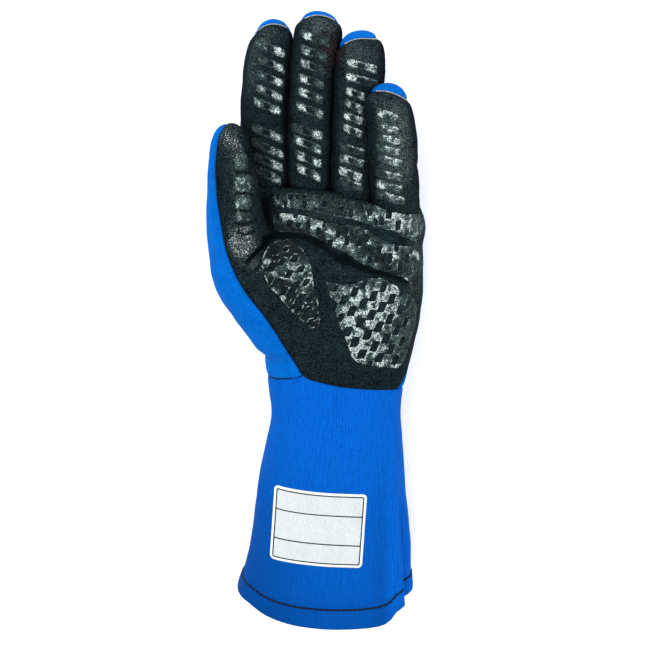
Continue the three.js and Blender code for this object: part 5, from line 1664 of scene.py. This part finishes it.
# a row of stitches: small capsules end to end along a line that lies on the cloth
def stitchRow(points, outwards, make, around=8):
    pitch, length, radius = make["pitch"], make["length"], make["radius"]
    steps = np.linalg.norm(np.diff(points, axis=0), axis=1)
    reached = np.concatenate([[0], np.cumsum(steps)])
    sag, sagPower = 0.75, 2.5    # a stitch's ends dip into the cloth
    # place along a stitch and thickness there
    shape = [(-1.0, 0.25), (-0.86, 0.75), (-0.55, 1.0), (0.0, 1.08), (0.55, 1.0), (0.86, 0.75), (1.0, 0.25)]
    angles = 2 * math.pi * np.arange(around) / around
    allPoints, allFaces, start = [], [], 0

    def along(values, reach):
        return np.array([np.interp(reach, reached, values[:, k]) for k in range(3)])

    for middle in np.arange(pitch / 2, reached[-1], pitch):
        at = [along(points, middle + f * length / 2) for f, _ in shape]
        out = unit(along(outwards, middle))
        side = unit(np.cross(unit(at[-1] - at[0]), out))
        circle = np.cos(angles)[:, None] * side + np.sin(angles)[:, None] * out
        rings = []
        for spot, (f, size) in zip(at, shape):
            dip = -sag * radius * abs(f) ** sagPower
            rings.append(spot + out * dip + radius * size * circle)
        ends = [spot[None] - out * sag * radius for spot in (at[-1], at[0])]
        stitch = np.vstack([np.array(rings).reshape(-1, 3), *ends])
        allPoints.append(stitch)
        allFaces.append(outward(stitch - stitch.mean(0), tubeFaces(len(rings), around, True)) + start)
        start += len(stitch)
    return {"points": np.vstack(allPoints), "faces": np.vstack(allFaces), "data": {}}


hemStitches = {"above": 9.4, "pitch": 3.0, "length": 3.2, "radius": 0.5, "out": 0.05}


def hemLine():
    angles = cuffAngles()[0]
    y = np.full(len(angles), hemCurve["sides"] + hemStitches["above"])
    base = bodySkin(y, angles)
    sway = cuffSway(base) - cuffMake["hemGroove"] + hemStitches["out"] + hemStitches["radius"]
    outer = bodySkin(y, angles, sway)
    return outer, unit(outer - bodySkin(y, angles, sway - 1.0))


makePiece("hemStitches", stitchRow(*hemLine(), hemStitches), [blackThread])

# the thread of the wrist seam lies a little above the cuff's own edge, which starts just below it
wristThread = {"line": [(-29.5, -30.8), (-24, -29.9), (-18, -28.6), (-11.5, -26.6)], "down": 0.9, "up": 1.4,
               "pitch": 2.6, "length": 2.75, "radius": 0.34}
wristPoints, wristOut = onCuff((x, y - wristThread["down"]) for x, y in smoothLine(wristThread["line"], 6))
wristStitches = stitchRow(wristPoints + [0, wristThread["up"], 0], wristOut, wristThread)
makePiece("wristThread", wristStitches, [blackThread])

# a pale raw edge shows beside the seam over each fingertip
capEdge = {"pitch": 1.35, "length": 1.2, "radius": 0.27, "inside": 0.55, "sides": 0.955, "out": 0.05,
           "from": 0.8, "to": 0.9995, "back": 5}


def capLine(name):
    limb = limbForms[name]
    t = np.linspace(capEdge["from"], capEdge["to"], 260)
    share = np.linspace(-capEdge["sides"], capEdge["sides"], 90)
    domeStart = 1 - limb["tipRound"] / limbLength(limb)
    f = np.clip((t - domeStart) / (1 - domeStart), 0, 1)
    shrink = (1 - f ** domePower) ** (1 / domePower)
    centre, along, side, palmward = limbFrame(limb, t)
    halfWidth, halfDepth = (limbColumn(limb, k, t) / 2 * shrink for k in ("width", "depth"))
    up = (1 - np.abs(share) ** limbBulge) ** (1 / limbBulge)
    skin = (centre[:, None] + (halfWidth[:, None] * share)[..., None] * side[:, None]
            + (halfDepth[:, None] * up)[..., None] * palmward[:, None])
    nearest = np.argmin(np.abs(belowCap(limb, skin) - capEdge["inside"]), 0)
    points = skin[nearest, np.arange(len(share))]
    out = unit(points - (centre[nearest] - along[nearest] * capEdge["back"]))
    return points + out * capEdge["out"], out


tipEdges = joined([stitchRow(*capLine(name), capEdge) for name in fingerNames])
makePiece("tipEdges", tipEdges, [rawEdge])
print("stitches made")

# floor, light and camera
floorMake = {"size": 12, "sink": 0.0004, "dark": colour(247, 247, 248), "light": colour(252, 252, 252),
             "white": colour(255, 255, 255), "glow": 0.26, "cloud": 30.0, "cloudLimits": (0.2, 0.8)}
floorMesh = bpy.data.meshes.new("floor")
half = floorMake["size"] / 2
corners = [(-half, -half), (half, -half), (half, half), (-half, half)]
floorMesh.from_pydata([(x, y, -floorMake["sink"]) for x, y in corners], [], [(0, 1, 2, 3)])
floor = bpy.data.objects.new("floor", floorMesh)
bpy.context.scene.collection.objects.link(floor)
floorMaterial, floorTree, floorShader, floorPlace = newMaterial("paleFloor", {
    "Roughness": 0.9, "Specular IOR Level": 0.1, "Emission Color": floorMake["white"],
    "Emission Strength": floorMake["glow"]})
floorCloud = cloudy(floorTree, {"Vector": floorPlace, "Scale": floorMake["cloud"], "Detail": 3.0})
floorCloud = ranged(floorTree, floorCloud, *floorMake["cloudLimits"])
floorShade = blended(floorTree, floorCloud, floorMake["dark"], floorMake["light"])
floorTree.links.new(floorShade, floorShader.inputs["Base Color"])
floorMesh.materials.append(floorMaterial)

lightMake = {
    "world": 0.86,
    "lamps": [
        dict(name="keyLight", place=(-0.55, 0.75, 1.15), aim=(0, 0, 0.02), size=0.9, power=12),
        dict(name="fillLight", place=(0.8, -0.3, 1.2), aim=(0, 0, 0.02), size=1.1, power=5),
    ],
}
world = bpy.data.worlds.new("studio")
world.use_nodes = True
world.node_tree.nodes["Background"].inputs["Color"].default_value = (1, 1, 1, 1)
world.node_tree.nodes["Background"].inputs["Strength"].default_value = lightMake["world"]
bpy.context.scene.world = world
for lamp in lightMake["lamps"]:
    light = bpy.data.lights.new(lamp["name"], "AREA")
    light.shape, light.size, light.energy = "DISK", lamp["size"], lamp["power"]
    lampObject = bpy.data.objects.new(lamp["name"], light)
    lampObject.location = lamp["place"]
    towards = Vector(lamp["place"]) - Vector(lamp["aim"])
    lampObject.rotation_euler = towards.to_track_quat("Z", "Y").to_euler()
    bpy.context.scene.collection.objects.link(lampObject)

cameraData = bpy.data.cameras.new("camera")
cameraData.lens, cameraData.sensor_width = cameraMake["lens"], cameraMake["sensor"]
camera = bpy.data.objects.new("camera", cameraData)
tilt = math.radians(cameraMake["tilt"])
back = Vector((0, math.sin(tilt), math.cos(tilt)))
right = Vector((1, 0, 0))
camera.matrix_world = Matrix.Translation(Vector(cameraMake["aim"]) + back * cameraMake["distance"]) @ Matrix(
    (right, back.cross(right), back)).transposed().to_4x4()
bpy.context.scene.collection.objects.link(camera)
bpy.context.scene.camera = camera
bpy.context.scene.view_settings.view_transform = "Standard"
print("stage set")

bpy.context.view_layer.update()
